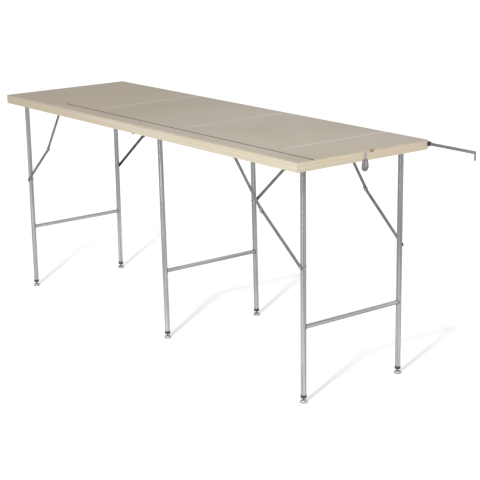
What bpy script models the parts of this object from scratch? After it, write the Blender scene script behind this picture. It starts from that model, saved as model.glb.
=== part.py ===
"""Wallpaper pasting table: a two-part board, hinged in the middle, on three folding tube frames.

Metres, +Z up, +X along the board, +Y towards the back. The model stands on z = 0, centred in X and Y.
Everything is built from the board's front left corner, and one empty then moves it all to the centre.
"""

import math

import bmesh
import bpy
from mathutils import Matrix, Vector

# Board
TABLE_LENGTH = 1.8
TABLE_WIDTH = 0.55
TABLE_HEIGHT = 0.8
EDGE_DEPTH = 0.033
BOARD_THICKNESS = 0.004
RAIL_THICKNESS = 0.015
EDGE_ROUNDING = 0.001
GROOVE_START = 0.36
GROOVE_INSET = 0.062
GROOVE_WIDTH = 0.006
GROOVE_DEPTH = 0.002

# Clearances
SEAT_GAP = 0.0003
FOLD_GAP = 0.0006
HOLE_CLEARANCE = 0.0004
OVERRUN = 0.002

# Leg frames
TUBE_RADIUS = 0.009
CROSSBAR_RADIUS = 0.007
BEND_RADIUS = 0.04
FRAME_SIDE_INSET = 0.067
LEFT_AXIS_INSET = 0.0375
RIGHT_AXIS_INSET = 0.053
MIDDLE_SHIFT = 0.033
MIDDLE_LEAN = math.radians(1.1)
CROSSBAR_HEIGHT = 0.253
BOARD_CLEARANCE = 0.001
STACK_GAP = 0.0005
FOLDED_DROP = math.radians(0.5)
MIDDLE_FOLDED_DROP = math.radians(3.4)

# Saddles that hold the frames' top tubes
STRAP_THICKNESS = 0.0015
STRAP_WIDTH = 0.02
STRAP_FLANGE = 0.01
STRAP_SPACING = 0.22

# Collars and screw feet
COLLAR_RADIUS = 0.0102
COLLAR_BOTTOM = 0.0165
COLLAR_TOP = 0.0265
TUBE_END = 0.019
STEM_RADIUS = 0.003
STEM_TOP = 0.042
STEM_BORE_TOP = 0.045
FOOT_RADIUS = 0.0125
FOOT_BASE_RADIUS = 0.0113
FOOT_EDGE_BOTTOM = 0.0012
FOOT_EDGE_TOP = 0.003
FOOT_CROWN = 0.0095
FOOT_CROWN_RADIUS = 0.006

# Two-link braces
LINK_WIDTH = 0.012
LINK_THICKNESS = 0.0025
LEG_PIVOT_HEIGHT = 0.45
FOLDED_STEP = 0.014
KNEE_SLACK = 0.0028
KNEE_INSET = 0.0502
KNEE_OVERLAP = 0.013
KNEE_EYE_RADIUS = 0.0075
KNEE_EYE_STEP = 0.0002
LINK_END = 0.008
LINK_FLAT = 0.016
RAIL_PIVOT_DEPTH = 0.017
MIDDLE_RAIL_PIVOT_DEPTH = 0.025
TOP_FLAT = 0.01
TOP_BEND_RUN = 0.022
TOP_BEND_INSET = 0.037
RIVET_RADIUS = 0.005
RIVET_HEIGHT = 0.0015
BOLT_RADIUS = 0.0025
BOLT_HEAD_RADIUS = 0.0045
BOLT_HEAD_HEIGHT = 0.003
NUT_RADIUS = 0.0045
NUT_HEIGHT = 0.0018
SCREW_HEAD_HEIGHT = 0.0025
SCREW_LENGTH = 0.01
DOME_SHOULDER_SHARE = 0.85
DOME_RIM_SHARE = 0.3
BLOCK_LENGTH = 0.028
BLOCK_HEIGHT = 0.0254

# Centre hinges
LEAF_LENGTH = 0.045
LEAF_REACH = 0.0115
LEAF_THICKNESS = 0.0015
LEAF_INSET = 0.004
KNUCKLE_RADIUS = 0.0025
OUTER_KNUCKLE = 0.012
PIN_RADIUS = 0.0011

# Swinging hasp, its catch plate and the stud that it closes on
HASP_THICKNESS = 0.0035
HASP_PIVOT_DEPTH = 0.008
HASP_NECK_WIDTH = 0.009
HASP_SHOULDER_RADIUS = 0.0125
HASP_SHOULDER_DROP = 0.029
HASP_BOTTOM_RADIUS = 0.015
HASP_BOTTOM_DROP = 0.0435
HASP_ROUNDING = 0.0008
HASP_POCKET_CLEARANCE = 0.0006
HASP_SCREW_RADIUS = 0.002
HASP_SCREW_HEAD_RADIUS = 0.0038
NOTCH_OFFSET = 0.03
NOTCH_WIDTH = 0.019
NOTCH_DEPTH = 0.009
NOTCH_REACH = 0.004
CATCH_THICKNESS = 0.002
STUD_RADIUS = 0.0022
STUD_HEAD_RADIUS = 0.005
STUD_HEAD_HEIGHT = 0.0018
STUD_LENGTH = 0.008

# Pull-out arm on the back rail
ARM_HEIGHT = 0.01
ARM_THICKNESS = 0.003
ARM_DEPTH = 0.015
ARM_TRAVEL = 0.19
FINGER_WIDTH = 0.006
FINGER_DROP = 0.026
STOP_WIDTH = 0.006
STOP_DROP = 0.018
GUIDE_LENGTH = 0.018
GUIDE_DEPTH = 0.012
GUIDE_HEIGHT = 0.0138
GUIDE_SPACING = 0.198
GUIDE_OVERHANG = 0.006

# Facets
TUBE_SIDES_RESOLUTION = 6
BEND_STEPS = 6
TURN_STEPS = 24
CROWN_STEPS = 4
ARC_STEPS = 8
BOLT_STEPS = 16

# Places that follow from the sizes above
RAIL_BOTTOM = TABLE_HEIGHT - EDGE_DEPTH
UNDERSIDE = TABLE_HEIGHT - BOARD_THICKNESS
RAIL_TOP = UNDERSIDE - SEAT_GAP
MIDDLE = TABLE_LENGTH / 2
RIGHT_START = MIDDLE + FOLD_GAP / 2
LEFT_END = MIDDLE - FOLD_GAP / 2
SIDE_AXIS_HEIGHT = UNDERSIDE - BOARD_CLEARANCE - TUBE_RADIUS
MIDDLE_AXIS_HEIGHT = SIDE_AXIS_HEIGHT - 2 * TUBE_RADIUS - STACK_GAP
SADDLE_INNER = TUBE_RADIUS + SEAT_GAP
SADDLE_OUTER = SADDLE_INNER + STRAP_THICKNESS
MIDDLE_AXIS_X = RIGHT_START + RAIL_THICKNESS + SEAT_GAP + SADDLE_OUTER
RIGHT_AXIS_X = TABLE_LENGTH - RIGHT_AXIS_INSET
FRAME_HALF_WIDTH = TABLE_WIDTH / 2 - FRAME_SIDE_INSET
HINGE_AXIS_HEIGHT = RAIL_BOTTOM - SEAT_GAP - KNUCKLE_RADIUS
HASP_PIVOT_HEIGHT = TABLE_HEIGHT - HASP_PIVOT_DEPTH
STUD_REACH = SEAT_GAP + STUD_HEAD_HEIGHT
ARM_REACH = GUIDE_OVERHANG + ARM_TRAVEL + FINGER_WIDTH + OVERRUN
GUIDE_FAR_SIDE = TABLE_WIDTH + SEAT_GAP + GUIDE_DEPTH
CENTRE_X = (TABLE_LENGTH + ARM_REACH - STUD_REACH) / 2
CENTRE_Y = GUIDE_FAR_SIDE / 2

FRAMES = {
    "left": {"x": LEFT_AXIS_INSET, "z": SIDE_AXIS_HEIGHT, "shift": 0, "lean": 0, "folds": 1},
    "middle": {
        "x": MIDDLE_AXIS_X,
        "z": MIDDLE_AXIS_HEIGHT,
        "shift": MIDDLE_SHIFT,
        "lean": MIDDLE_LEAN,
        "folds": 1,
    },
    "right": {"x": RIGHT_AXIS_X, "z": SIDE_AXIS_HEIGHT, "shift": 0, "lean": 0, "folds": -1},
}
BRACES = (("left", "front"), ("left", "back"), ("middle", "back"), ("right", "front"), ("right", "back"))
SIDES = {"front": -1, "back": 1}


def clear_scene():
    for obj in list(bpy.data.objects):
        bpy.data.objects.remove(obj, do_unlink=True)


def new_collection(name):
    collection = bpy.data.collections.new(name)
    bpy.context.scene.collection.children.link(collection)
    return collection


def finish(name, colour, roughness, metallic):
    """A Principled material. The colour is linear red, green and blue."""
    material = bpy.data.materials.new(name)
    material.use_nodes = True
    shader = material.node_tree.nodes["Principled BSDF"]
    shader.inputs["Base Color"].default_value = (*colour, 1)
    shader.inputs["Roughness"].default_value = roughness
    shader.inputs["Metallic"].default_value = metallic
    return material


def add_mesh(name, mesh, material):
    obj = bpy.data.objects.new(name, mesh)
    PARTS.objects.link(obj)
    if material:
        mesh.materials.append(material)
    return obj


def box(name, low, high, material, rounding=0):
    """A box between two corners, with its origin at its centre."""
    size = Vector(high) - Vector(low)
    mesh = bpy.data.meshes.new(name)
    shape = bmesh.new()
    bmesh.ops.create_cube(shape, size=1)
    bmesh.ops.scale(shape, vec=size, verts=shape.verts)
    shape.to_mesh(mesh)
    shape.free()
    obj = add_mesh(name, mesh, material)
    obj.location = (Vector(low) + Vector(high)) / 2
    if rounding:
        round_edges(obj, rounding)
    return obj


def round_edges(obj, width):
    bevel = obj.modifiers.new("rounding", "BEVEL")
    bevel.width = width
    bevel.segments = 2
    bevel.limit_method = "ANGLE"


def cylinder(name, radius, length, material, steps=TURN_STEPS):
    """A cylinder along its own Z, from z = 0 up."""
    mesh = bpy.data.meshes.new(name)
    shape = bmesh.new()
    bmesh.ops.create_cone(
        shape, cap_ends=True, segments=steps, radius1=radius, radius2=radius, depth=length
    )
    bmesh.ops.translate(shape, vec=(0, 0, length / 2), verts=shape.verts)
    shape.to_mesh(mesh)
    shape.free()
    return add_mesh(name, mesh, material)


def turned(name, profile, material, steps=TURN_STEPS, closed=False):
    """A profile of (radius, height) points, from the top down its outer side, turned about Z."""
    mesh = bpy.data.meshes.new(name)
    count = len(profile)
    edges = [(i, (i + 1) % count) for i in range(count if closed else count - 1)]
    mesh.from_pydata([(radius, 0, height) for radius, height in profile], edges, [])
    obj = add_mesh(name, mesh, material)
    screw = obj.modifiers.new("turning", "SCREW")
    screw.axis = "Z"
    screw.angle = math.tau
    screw.steps = steps
    screw.render_steps = steps
    screw.use_merge_vertices = True
    screw.merge_threshold = 0.00001
    screw.use_smooth_shade = True
    return obj


def plate(name, outline, thickness, material):
    """A flat outline in the XY plane, thickened equally to both sides, made a mesh."""
    curve = bpy.data.curves.new(name, "CURVE")
    curve.dimensions = "2D"
    curve.fill_mode = "BOTH"
    curve.extrude = thickness / 2
    spline = curve.splines.new("POLY")
    spline.points.add(len(outline) - 1)
    for point, (x, y) in zip(spline.points, outline):
        point.co = (x, y, 0, 1)
    spline.use_cyclic_u = True
    return as_mesh(name, curve, material)


def tube(name, path, radius, material):
    """A round tube along a path, with filled ends, made a mesh."""
    curve = bpy.data.curves.new(name, "CURVE")
    curve.dimensions = "3D"
    curve.bevel_depth = radius
    curve.bevel_resolution = TUBE_SIDES_RESOLUTION
    curve.use_fill_caps = True
    spline = curve.splines.new("POLY")
    spline.points.add(len(path) - 1)
    for point, place in zip(spline.points, path):
        point.co = (*place, 1)
    return as_mesh(name, curve, material)


def as_mesh(name, curve, material):
    """The curve's evaluated shape as a mesh object with welded caps."""
    guide = bpy.data.objects.new("guide", curve)
    bpy.context.scene.collection.objects.link(guide)
    graph = bpy.context.evaluated_depsgraph_get()
    mesh = bpy.data.meshes.new_from_object(guide.evaluated_get(graph))
    mesh.name = name
    shape = bmesh.new()
    shape.from_mesh(mesh)
    bmesh.ops.remove_doubles(shape, verts=shape.verts, dist=0.000001)
    bmesh.ops.recalc_face_normals(shape, faces=shape.faces)
    shape.to_mesh(mesh)
    shape.free()
    bpy.data.objects.remove(guide, do_unlink=True)
    mesh.materials.clear()
    return add_mesh(name, mesh, material)


def arc(centre, radius, start, end, steps):
    """Points on an arc, with angles in radians, both ends included."""
    turn = (end - start) / steps
    return [
        (centre[0] + radius * math.cos(start + turn * i), centre[1] + radius * math.sin(start + turn * i))
        for i in range(steps + 1)
    ]


def combine(obj, tool, operation):
    """Cuts, joins or intersects with a helper, which moves with the object and stays out of renders."""
    modifier = obj.modifiers.new(operation.lower(), "BOOLEAN")
    modifier.operation = operation
    modifier.object = tool
    tool.hide_render = True
    tool.display_type = "WIRE"
    for holder in list(tool.users_collection):
        holder.objects.unlink(tool)
    CUTTERS.objects.link(tool)


def turn_to_y(obj, side):
    """Turns an object's own +Z to +Y at the back, or to -Y at the front."""
    obj.rotation_euler = (-side * math.pi / 2, 0, 0)


def smooth(obj):
    obj.data.shade_smooth()
    obj.data.set_sharp_from_angle(angle=math.radians(40))


def hang(children, parent):
    """Parents objects without moving them."""
    bpy.context.view_layer.update()
    for child in children:
        child.parent = parent
        child.matrix_parent_inverse = parent.matrix_world.inverted()


def axis_empty(name, place):
    empty = bpy.data.objects.new(name, None)
    empty.empty_display_size = TUBE_RADIUS
    PARTS.objects.link(empty)
    empty.location = place
    return empty


def from_side(distance, side):
    """The Y of a place at this distance inwards from the front or back face of the board."""
    return distance if side < 0 else TABLE_WIDTH - distance


def make_board(half, start, end):
    """One half of the board, with its stretch of the trimming groove."""
    board = box(
        half + "_board",
        (start, 0, UNDERSIDE),
        (end, TABLE_WIDTH, TABLE_HEIGHT),
        FINISHES["laminate"],
    )
    groove = box(
        half + "_groove_cutter",
        (max(GROOVE_START, start - OVERRUN), GROOVE_INSET - GROOVE_WIDTH / 2, TABLE_HEIGHT - GROOVE_DEPTH),
        (end + OVERRUN, GROOVE_INSET + GROOVE_WIDTH / 2, TABLE_HEIGHT + OVERRUN),
        None,
    )
    combine(board, groove, "DIFFERENCE")
    return board


def rail_plate(name, outline):
    """An upright rail under the board, from its outline seen from above."""
    rail = plate(name, outline, RAIL_TOP - RAIL_BOTTOM, FINISHES["rail_wood"])
    rail.location = (0, 0, (RAIL_TOP + RAIL_BOTTOM) / 2)
    return rail


def make_rails(half, inner_x, outer_x):
    """The four rails of one half: two long ones, mitred to the end rail, and a square centre rail."""
    inward = 1 if inner_x > outer_x else -1
    thick = RAIL_THICKNESS * inward
    mitre = SEAT_GAP * math.sqrt(2)
    rails = {}
    for side_name, side in SIDES.items():
        outer_y = from_side(0, side)
        inner_y = from_side(RAIL_THICKNESS, side)
        outline = [(inner_x, outer_y), (outer_x, outer_y), (outer_x + thick, inner_y), (inner_x, inner_y)]
        rails[side_name] = rail_plate(half + "_" + side_name + "_rail", outline)
    end_outline = [
        (outer_x, mitre),
        (outer_x, TABLE_WIDTH - mitre),
        (outer_x + thick, TABLE_WIDTH - RAIL_THICKNESS - mitre),
        (outer_x + thick, RAIL_THICKNESS + mitre),
    ]
    rails["end"] = rail_plate(half + "_end_rail", end_outline)
    inset = RAIL_THICKNESS + SEAT_GAP
    centre_outline = [
        (inner_x, inset),
        (inner_x, TABLE_WIDTH - inset),
        (inner_x - thick, TABLE_WIDTH - inset),
        (inner_x - thick, inset),
    ]
    rails["centre"] = rail_plate(half + "_centre_rail", centre_outline)
    for rail in rails.values():
        round_edges(rail, EDGE_ROUNDING)
    return rails


def drill(obj, name, place, radius, depth, side, parent=None):
    """A round hole along Y from a place outwards, towards the front or the back."""
    cutter = cylinder(name, radius, depth, None, BOLT_STEPS)
    cutter.location = place
    turn_to_y(cutter, side)
    combine(obj, cutter, "DIFFERENCE")
    if parent:
        hang([cutter], parent)


def leg_length(frame):
    """From the frame's axis to its feet's underside, along the leg, with the lowest edge on the floor."""
    lowest = FOOT_BASE_RADIUS * math.sin(frame["lean"])
    return (frame["z"] - lowest) / math.cos(frame["lean"])


def foot_profile():
    """A levelling foot: a stem, a crown like a quarter ellipse and a flat base."""
    profile = [(0, STEM_TOP), (STEM_RADIUS, STEM_TOP), (STEM_RADIUS, FOOT_CROWN)]
    for i in range(CROWN_STEPS + 1):
        angle = math.pi / 2 * (1 - i / CROWN_STEPS)
        radius = FOOT_CROWN_RADIUS + (FOOT_RADIUS - FOOT_CROWN_RADIUS) * math.cos(angle)
        height = FOOT_EDGE_TOP + (FOOT_CROWN - FOOT_EDGE_TOP) * math.sin(angle)
        profile.append((radius, height))
    return profile + [(FOOT_RADIUS, FOOT_EDGE_BOTTOM), (FOOT_BASE_RADIUS, 0), (0, 0)]


def collar_profile():
    """A cup over the tube's end, with a hole for the foot's stem."""
    inside = TUBE_RADIUS + SEAT_GAP
    bore = STEM_RADIUS + HOLE_CLEARANCE
    return [
        (inside, COLLAR_TOP),
        (COLLAR_RADIUS, COLLAR_TOP),
        (COLLAR_RADIUS, COLLAR_BOTTOM),
        (bore, COLLAR_BOTTOM),
        (bore, TUBE_END - SEAT_GAP),
        (inside, TUBE_END - SEAT_GAP),
    ]


def make_leg_frame(name):
    """An inverted U of bent tube with a welded crossbar, its collars and its screw feet."""
    frame = FRAMES[name]
    centre_y = TABLE_WIDTH / 2 + frame["shift"]
    axis = axis_empty(name + "_leg_axis", (frame["x"], centre_y, frame["z"]))
    length = leg_length(frame)
    half = FRAME_HALF_WIDTH
    left_bend = arc((-half + BEND_RADIUS, -BEND_RADIUS), BEND_RADIUS, math.pi, math.pi / 2, BEND_STEPS)
    right_bend = arc((half - BEND_RADIUS, -BEND_RADIUS), BEND_RADIUS, math.pi / 2, 0, BEND_STEPS)
    bottom = TUBE_END - length
    path = [(0, -half, bottom)]
    path += [(0, y, z) for y, z in left_bend + right_bend]
    path.append((0, half, bottom))
    legs = tube(name + "_leg_frame", path, TUBE_RADIUS, FINISHES["zinc_tube"])
    crossbar_z = CROSSBAR_HEIGHT - length
    crossbar = tube(
        name + "_crossbar", [(0, -half, crossbar_z), (0, half, crossbar_z)], CROSSBAR_RADIUS, None
    )
    combine(legs, crossbar, "UNION")
    helpers = [crossbar]
    pieces = [legs]
    for side_name, side in SIDES.items():
        bore = cylinder(
            name + "_" + side_name + "_stem_cutter",
            STEM_RADIUS + HOLE_CLEARANCE,
            STEM_BORE_TOP - TUBE_END + OVERRUN,
            None,
            BOLT_STEPS,
        )
        bore.location = (0, side * half, TUBE_END - OVERRUN - length)
        combine(legs, bore, "DIFFERENCE")
        helpers.append(bore)
        collar = turned(
            name + "_" + side_name + "_collar", collar_profile(), FINISHES["black_plastic"], closed=True
        )
        foot = turned(name + "_" + side_name + "_foot", foot_profile(), FINISHES["foot_zinc"])
        for piece in (collar, foot):
            piece.location = (0, side * half, -length)
            smooth(piece)
            pieces.append(piece)
    for piece in pieces + helpers:
        piece.parent = axis
    axis.rotation_euler = (0, -frame["folds"] * frame["lean"], 0)
    smooth(legs)
    return axis, legs


def make_saddles(name, one_flange):
    """Two steel straps that hold the frame's top tube up to the board."""
    frame = FRAMES[name]
    top = UNDERSIDE - SEAT_GAP - frame["z"]
    inner_arc = arc((0, 0), SADDLE_INNER, math.pi, math.tau, ARC_STEPS)
    outer_arc = arc((0, 0), SADDLE_OUTER, math.tau, math.pi, ARC_STEPS)
    wide = SADDLE_OUTER + STRAP_FLANGE
    flange_low = top - STRAP_THICKNESS
    outline = [(-SADDLE_INNER, top)] + inner_arc + [(SADDLE_INNER, top), (wide, top)]
    outline += [(wide, flange_low), (SADDLE_OUTER, flange_low)] + outer_arc
    if one_flange:
        outline.append((-SADDLE_OUTER, top))
    else:
        outline += [(-SADDLE_OUTER, flange_low), (-wide, flange_low), (-wide, top)]
    for side_name, side in SIDES.items():
        strap = plate(name + "_" + side_name + "_saddle", outline, STRAP_WIDTH, FINISHES["bright_steel"])
        strap.rotation_euler = (math.pi / 2, 0, 0)
        centre_y = TABLE_WIDTH / 2 + frame["shift"] + side * STRAP_SPACING / 2
        strap.location = (frame["x"], centre_y, frame["z"])
        smooth(strap)


def circles_meet(first, first_radius, second, second_radius):
    """The two points where circles in the XZ plane meet."""
    reach = second - first
    distance = reach.length
    along = (distance**2 + first_radius**2 - second_radius**2) / (2 * distance)
    rise = math.sqrt(max(first_radius**2 - along**2, 0))
    foot = first + reach * (along / distance)
    across = Vector((-reach.y, reach.x)) / distance
    return foot + across * rise, foot - across * rise


def brace_points(name):
    """Leg pivot, knee and rail pivot of a frame's brace, as (x, z), open.

    Folded, the rail pivot is one step nearer to the frame's axis than the leg pivot, and the links
    lie side by side below the board, so they differ by that step. Their sum is the open distance
    and a little slack, so that the open knee stands outside the straight line.
    """
    frame = FRAMES[name]
    folds = frame["folds"]
    axis = Vector((frame["x"], frame["z"]))
    reach = (frame["z"] - LEG_PIVOT_HEIGHT) / math.cos(frame["lean"])
    open_way = Vector((folds * math.sin(frame["lean"]), -math.cos(frame["lean"])))
    leg_pivot = axis + open_way * reach
    drop = MIDDLE_FOLDED_DROP if name == "middle" else FOLDED_DROP
    depth = MIDDLE_RAIL_PIVOT_DEPTH if name == "middle" else RAIL_PIVOT_DEPTH
    along = reach * math.cos(drop) - FOLDED_STEP
    rail_pivot = Vector((frame["x"] + folds * along, TABLE_HEIGHT - depth))
    total = (rail_pivot - leg_pivot).length + KNEE_SLACK
    lower = (total + FOLDED_STEP) / 2
    upper = (total - FOLDED_STEP) / 2
    knee = min(circles_meet(leg_pivot, lower, rail_pivot, upper), key=lambda point: point.y)
    return leg_pivot, knee, rail_pivot


def make_link(name, start, end, insets, side, end_radius_hole):
    """A flat bar with round ends that follows a bent line seen from above.

    insets lists (distance from the start pivot, inset from the board's side face). The first hole,
    at the start pivot, has the given radius, or none where it is 0.
    """
    way = end - start
    length = way.length
    first_inset = insets[0][1]
    middle_line = [(run, -side * (inset - first_inset)) for run, inset in insets]
    half = LINK_THICKNESS / 2
    near = [(run, y - half) for run, y in middle_line]
    far = [(run, y + half) for run, y in reversed(middle_line)]
    bar = plate(name, near + far, LINK_WIDTH + 2 * OVERRUN, FINISHES["brace_steel"])
    radius = LINK_WIDTH / 2
    start_x = insets[0][0] + radius
    end_x = insets[-1][0] - radius
    ends = arc((end_x, 0), radius, -math.pi / 2, math.pi / 2, ARC_STEPS)
    ends += arc((start_x, 0), radius, math.pi / 2, 3 * math.pi / 2, ARC_STEPS)
    trim = plate(name + "_trim", ends, 2 * TABLE_WIDTH, None)
    trim.rotation_euler = (math.pi / 2, 0, 0)
    combine(bar, trim, "INTERSECT")
    helpers = [trim]
    if end_radius_hole:
        hole = cylinder(name + "_hole", end_radius_hole, 2 * LINK_WIDTH, None, BOLT_STEPS)
        hole.location = (0, LINK_WIDTH, 0)
        turn_to_y(hole, -1)
        combine(bar, hole, "DIFFERENCE")
        helpers.append(hole)
    pieces = [bar] + helpers
    pivot = Vector((start.x, from_side(first_inset, side), start.y))
    turn = Matrix.Rotation(-math.atan2(way.y, way.x), 4, "Y")
    return pieces, pivot, turn, length


def join_round(name, bar, profile, place, side):
    """Joins a turned head or shank to a link, in the link's own frame, pointing in or outwards."""
    knob = turned(name, profile, None, BOLT_STEPS)
    knob.location = place
    turn_to_y(knob, side)
    combine(bar, knob, "UNION")
    return knob


def dome(radius, height, base=0):
    """The outline of a low domed head that stands on z = base, from its crown down to its rim."""
    return [
        (0, base + height),
        (radius / 2, base + height * DOME_SHOULDER_SHARE),
        (radius, base + height * DOME_RIM_SHARE),
        (radius, base),
    ]


def rivet_profile():
    """A domed rivet head whose root runs a little into the link."""
    return dome(RIVET_RADIUS, RIVET_HEIGHT) + [(RIVET_RADIUS, -LINK_THICKNESS / 2), (0, -LINK_THICKNESS / 2)]


def rail_screw_profile():
    """A screw in one with its link: a domed head whose root runs a little into the link, and a shank."""
    root = -LINK_THICKNESS / 2
    tip = -LINK_THICKNESS - SCREW_LENGTH
    head = dome(BOLT_HEAD_RADIUS, SCREW_HEAD_HEIGHT)
    return head + [(BOLT_HEAD_RADIUS, root), (BOLT_RADIUS, root), (BOLT_RADIUS, tip), (0, tip)]


def screw_profile(radius, head_radius, length):
    """A screw with a domed head above z = 0 and a plain shank below it."""
    return dome(head_radius, SCREW_HEAD_HEIGHT) + [(radius, 0), (radius, -length), (0, -length)]


def join_eye(name, bar, place):
    """Widens a link round its knee rivet with a disc that stands a little below the link's faces."""
    thickness = LINK_THICKNESS - 2 * KNEE_EYE_STEP
    eye = cylinder(name, KNEE_EYE_RADIUS, thickness, None)
    eye.location = Vector(place) - Vector((0, thickness / 2, 0))
    turn_to_y(eye, 1)
    combine(bar, eye, "UNION")
    return eye


def place_link(pieces, pivot, turn, parent):
    for piece in pieces:
        piece.matrix_world = Matrix.Translation(pivot) @ turn @ piece.matrix_basis
    if parent:
        hang(pieces, parent)


def make_brace(name, side_name, leg_axis, legs, rail):
    """The two links of one brace, its leg bolt and the holes that they need."""
    frame = FRAMES[name]
    side = SIDES[side_name]
    leg_pivot, knee, rail_pivot = brace_points(name)
    label = name + "_" + side_name
    leg_inset = FRAME_SIDE_INSET - side * frame["shift"]
    lower_inset = leg_inset - TUBE_RADIUS - SEAT_GAP - LINK_THICKNESS / 2
    knee_inset = min(KNEE_INSET, lower_inset - RIVET_HEIGHT)
    upper_inset = knee_inset - LINK_THICKNESS - SEAT_GAP
    on_block = label == "right_back"
    top_inset = upper_inset if on_block else RAIL_THICKNESS + SEAT_GAP + LINK_THICKNESS / 2

    lower_length = (knee - leg_pivot).length
    lower_line = [
        (-LINK_END, lower_inset),
        (LINK_FLAT, lower_inset),
        (lower_length - LINK_FLAT, knee_inset),
        (lower_length + KNEE_OVERLAP, knee_inset),
    ]
    pieces, pivot, turn, length = make_link(
        label + "_lower_link", leg_pivot, knee, lower_line, side, BOLT_RADIUS + HOLE_CLEARANCE
    )
    knee_offset = side * (lower_inset - knee_inset)
    inner_face = knee_offset - side * LINK_THICKNESS / 2
    pieces.append(join_eye(label + "_lower_eye", pieces[0], (length, knee_offset, 0)))
    pieces.append(
        join_round(label + "_lower_rivet", pieces[0], rivet_profile(), (length, inner_face, 0), -side)
    )
    place_link(pieces, pivot, turn, leg_axis)
    smooth(pieces[0])

    upper_length = (knee - rail_pivot).length
    bend_inset = min(TOP_BEND_INSET, upper_inset)
    if upper_inset - top_inset < TOP_BEND_RUN / 2:
        bend_inset = upper_inset
    upper_line = [
        (-LINK_END, top_inset),
        (TOP_FLAT, top_inset),
        (TOP_FLAT + TOP_BEND_RUN, bend_inset),
        (upper_length - LINK_FLAT, upper_inset),
        (upper_length + KNEE_OVERLAP, upper_inset),
    ]
    pieces, pivot, turn, length = make_link(label + "_upper_link", rail_pivot, knee, upper_line, side, 0)
    knee_offset = side * (top_inset - upper_inset)
    outer_face = knee_offset + side * LINK_THICKNESS / 2
    pieces.append(join_eye(label + "_upper_eye", pieces[0], (length, knee_offset, 0)))
    pieces.append(
        join_round(label + "_upper_rivet", pieces[0], rivet_profile(), (length, outer_face, 0), side)
    )
    head = (0, -side * LINK_THICKNESS / 2, 0)
    pieces.append(join_round(label + "_rail_screw", pieces[0], rail_screw_profile(), head, -side))
    place_link(pieces, pivot, turn, None)
    smooth(pieces[0])
    carrier = make_brace_block(rail_pivot, upper_inset, side) if on_block else rail
    carrier_inset = top_inset - LINK_THICKNESS / 2 - SEAT_GAP
    start = Vector((rail_pivot.x, from_side(carrier_inset + OVERRUN, side), rail_pivot.y))
    depth = SCREW_LENGTH + OVERRUN + SEAT_GAP
    drill(carrier, label + "_screw_cutter", start, BOLT_RADIUS + HOLE_CLEARANCE, depth, side)

    make_leg_bolt(label, frame, leg_pivot, leg_inset, lower_inset, side, leg_axis, legs)


def make_brace_block(rail_pivot, inset, side):
    """A wooden block that carries the back right brace clear of the middle frame's folded leg."""
    reach = inset - LINK_THICKNESS / 2 - SEAT_GAP
    near = from_side(RAIL_THICKNESS + SEAT_GAP, side)
    far = from_side(reach, side)
    low = (rail_pivot.x - BLOCK_LENGTH / 2, min(near, far), RAIL_TOP - BLOCK_HEIGHT)
    high = (rail_pivot.x + BLOCK_LENGTH / 2, max(near, far), RAIL_TOP)
    return box("brace_block", low, high, FINISHES["rail_wood"], EDGE_ROUNDING)


def make_leg_bolt(label, frame, leg_pivot, leg_inset, lower_inset, side, leg_axis, legs):
    """The bolt that holds a lower link to its leg, with its nut on the leg's inner side."""
    grip = LINK_THICKNESS + 2 * TUBE_RADIUS + 3 * SEAT_GAP
    profile = dome(BOLT_HEAD_RADIUS, BOLT_HEAD_HEIGHT) + [
        (BOLT_RADIUS, 0),
        (BOLT_RADIUS, -grip),
        (NUT_RADIUS, -grip),
        (NUT_RADIUS, -grip - NUT_HEIGHT),
        (0, -grip - NUT_HEIGHT),
    ]
    bolt = turned(label + "_leg_bolt", profile, FINISHES["bright_steel"], BOLT_STEPS)
    head_inset = lower_inset - LINK_THICKNESS / 2 - SEAT_GAP
    bolt.location = (leg_pivot.x, from_side(head_inset, side), leg_pivot.y)
    turn_to_y(bolt, side)
    smooth(bolt)
    hang([bolt], leg_axis)
    start_inset = leg_inset + TUBE_RADIUS + OVERRUN
    start = (leg_pivot.x, from_side(start_inset, side), leg_pivot.y)
    depth = 2 * (TUBE_RADIUS + OVERRUN)
    drill(legs, label + "_bolt_cutter", start, BOLT_RADIUS + HOLE_CLEARANCE, depth, side, leg_axis)


def make_spare_rivet(leg_axis, legs):
    """The rivet head on the middle frame's front leg, which carries no brace."""
    frame = FRAMES["middle"]
    leg_pivot = brace_points("middle")[0]
    surface = from_side(FRAME_SIDE_INSET + frame["shift"] - TUBE_RADIUS, -1)
    rivet = turned("spare_rivet", rivet_profile(), None, BOLT_STEPS)
    rivet.location = (leg_pivot.x, surface, leg_pivot.y)
    turn_to_y(rivet, -1)
    combine(legs, rivet, "UNION")
    hang([rivet], leg_axis)


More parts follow.
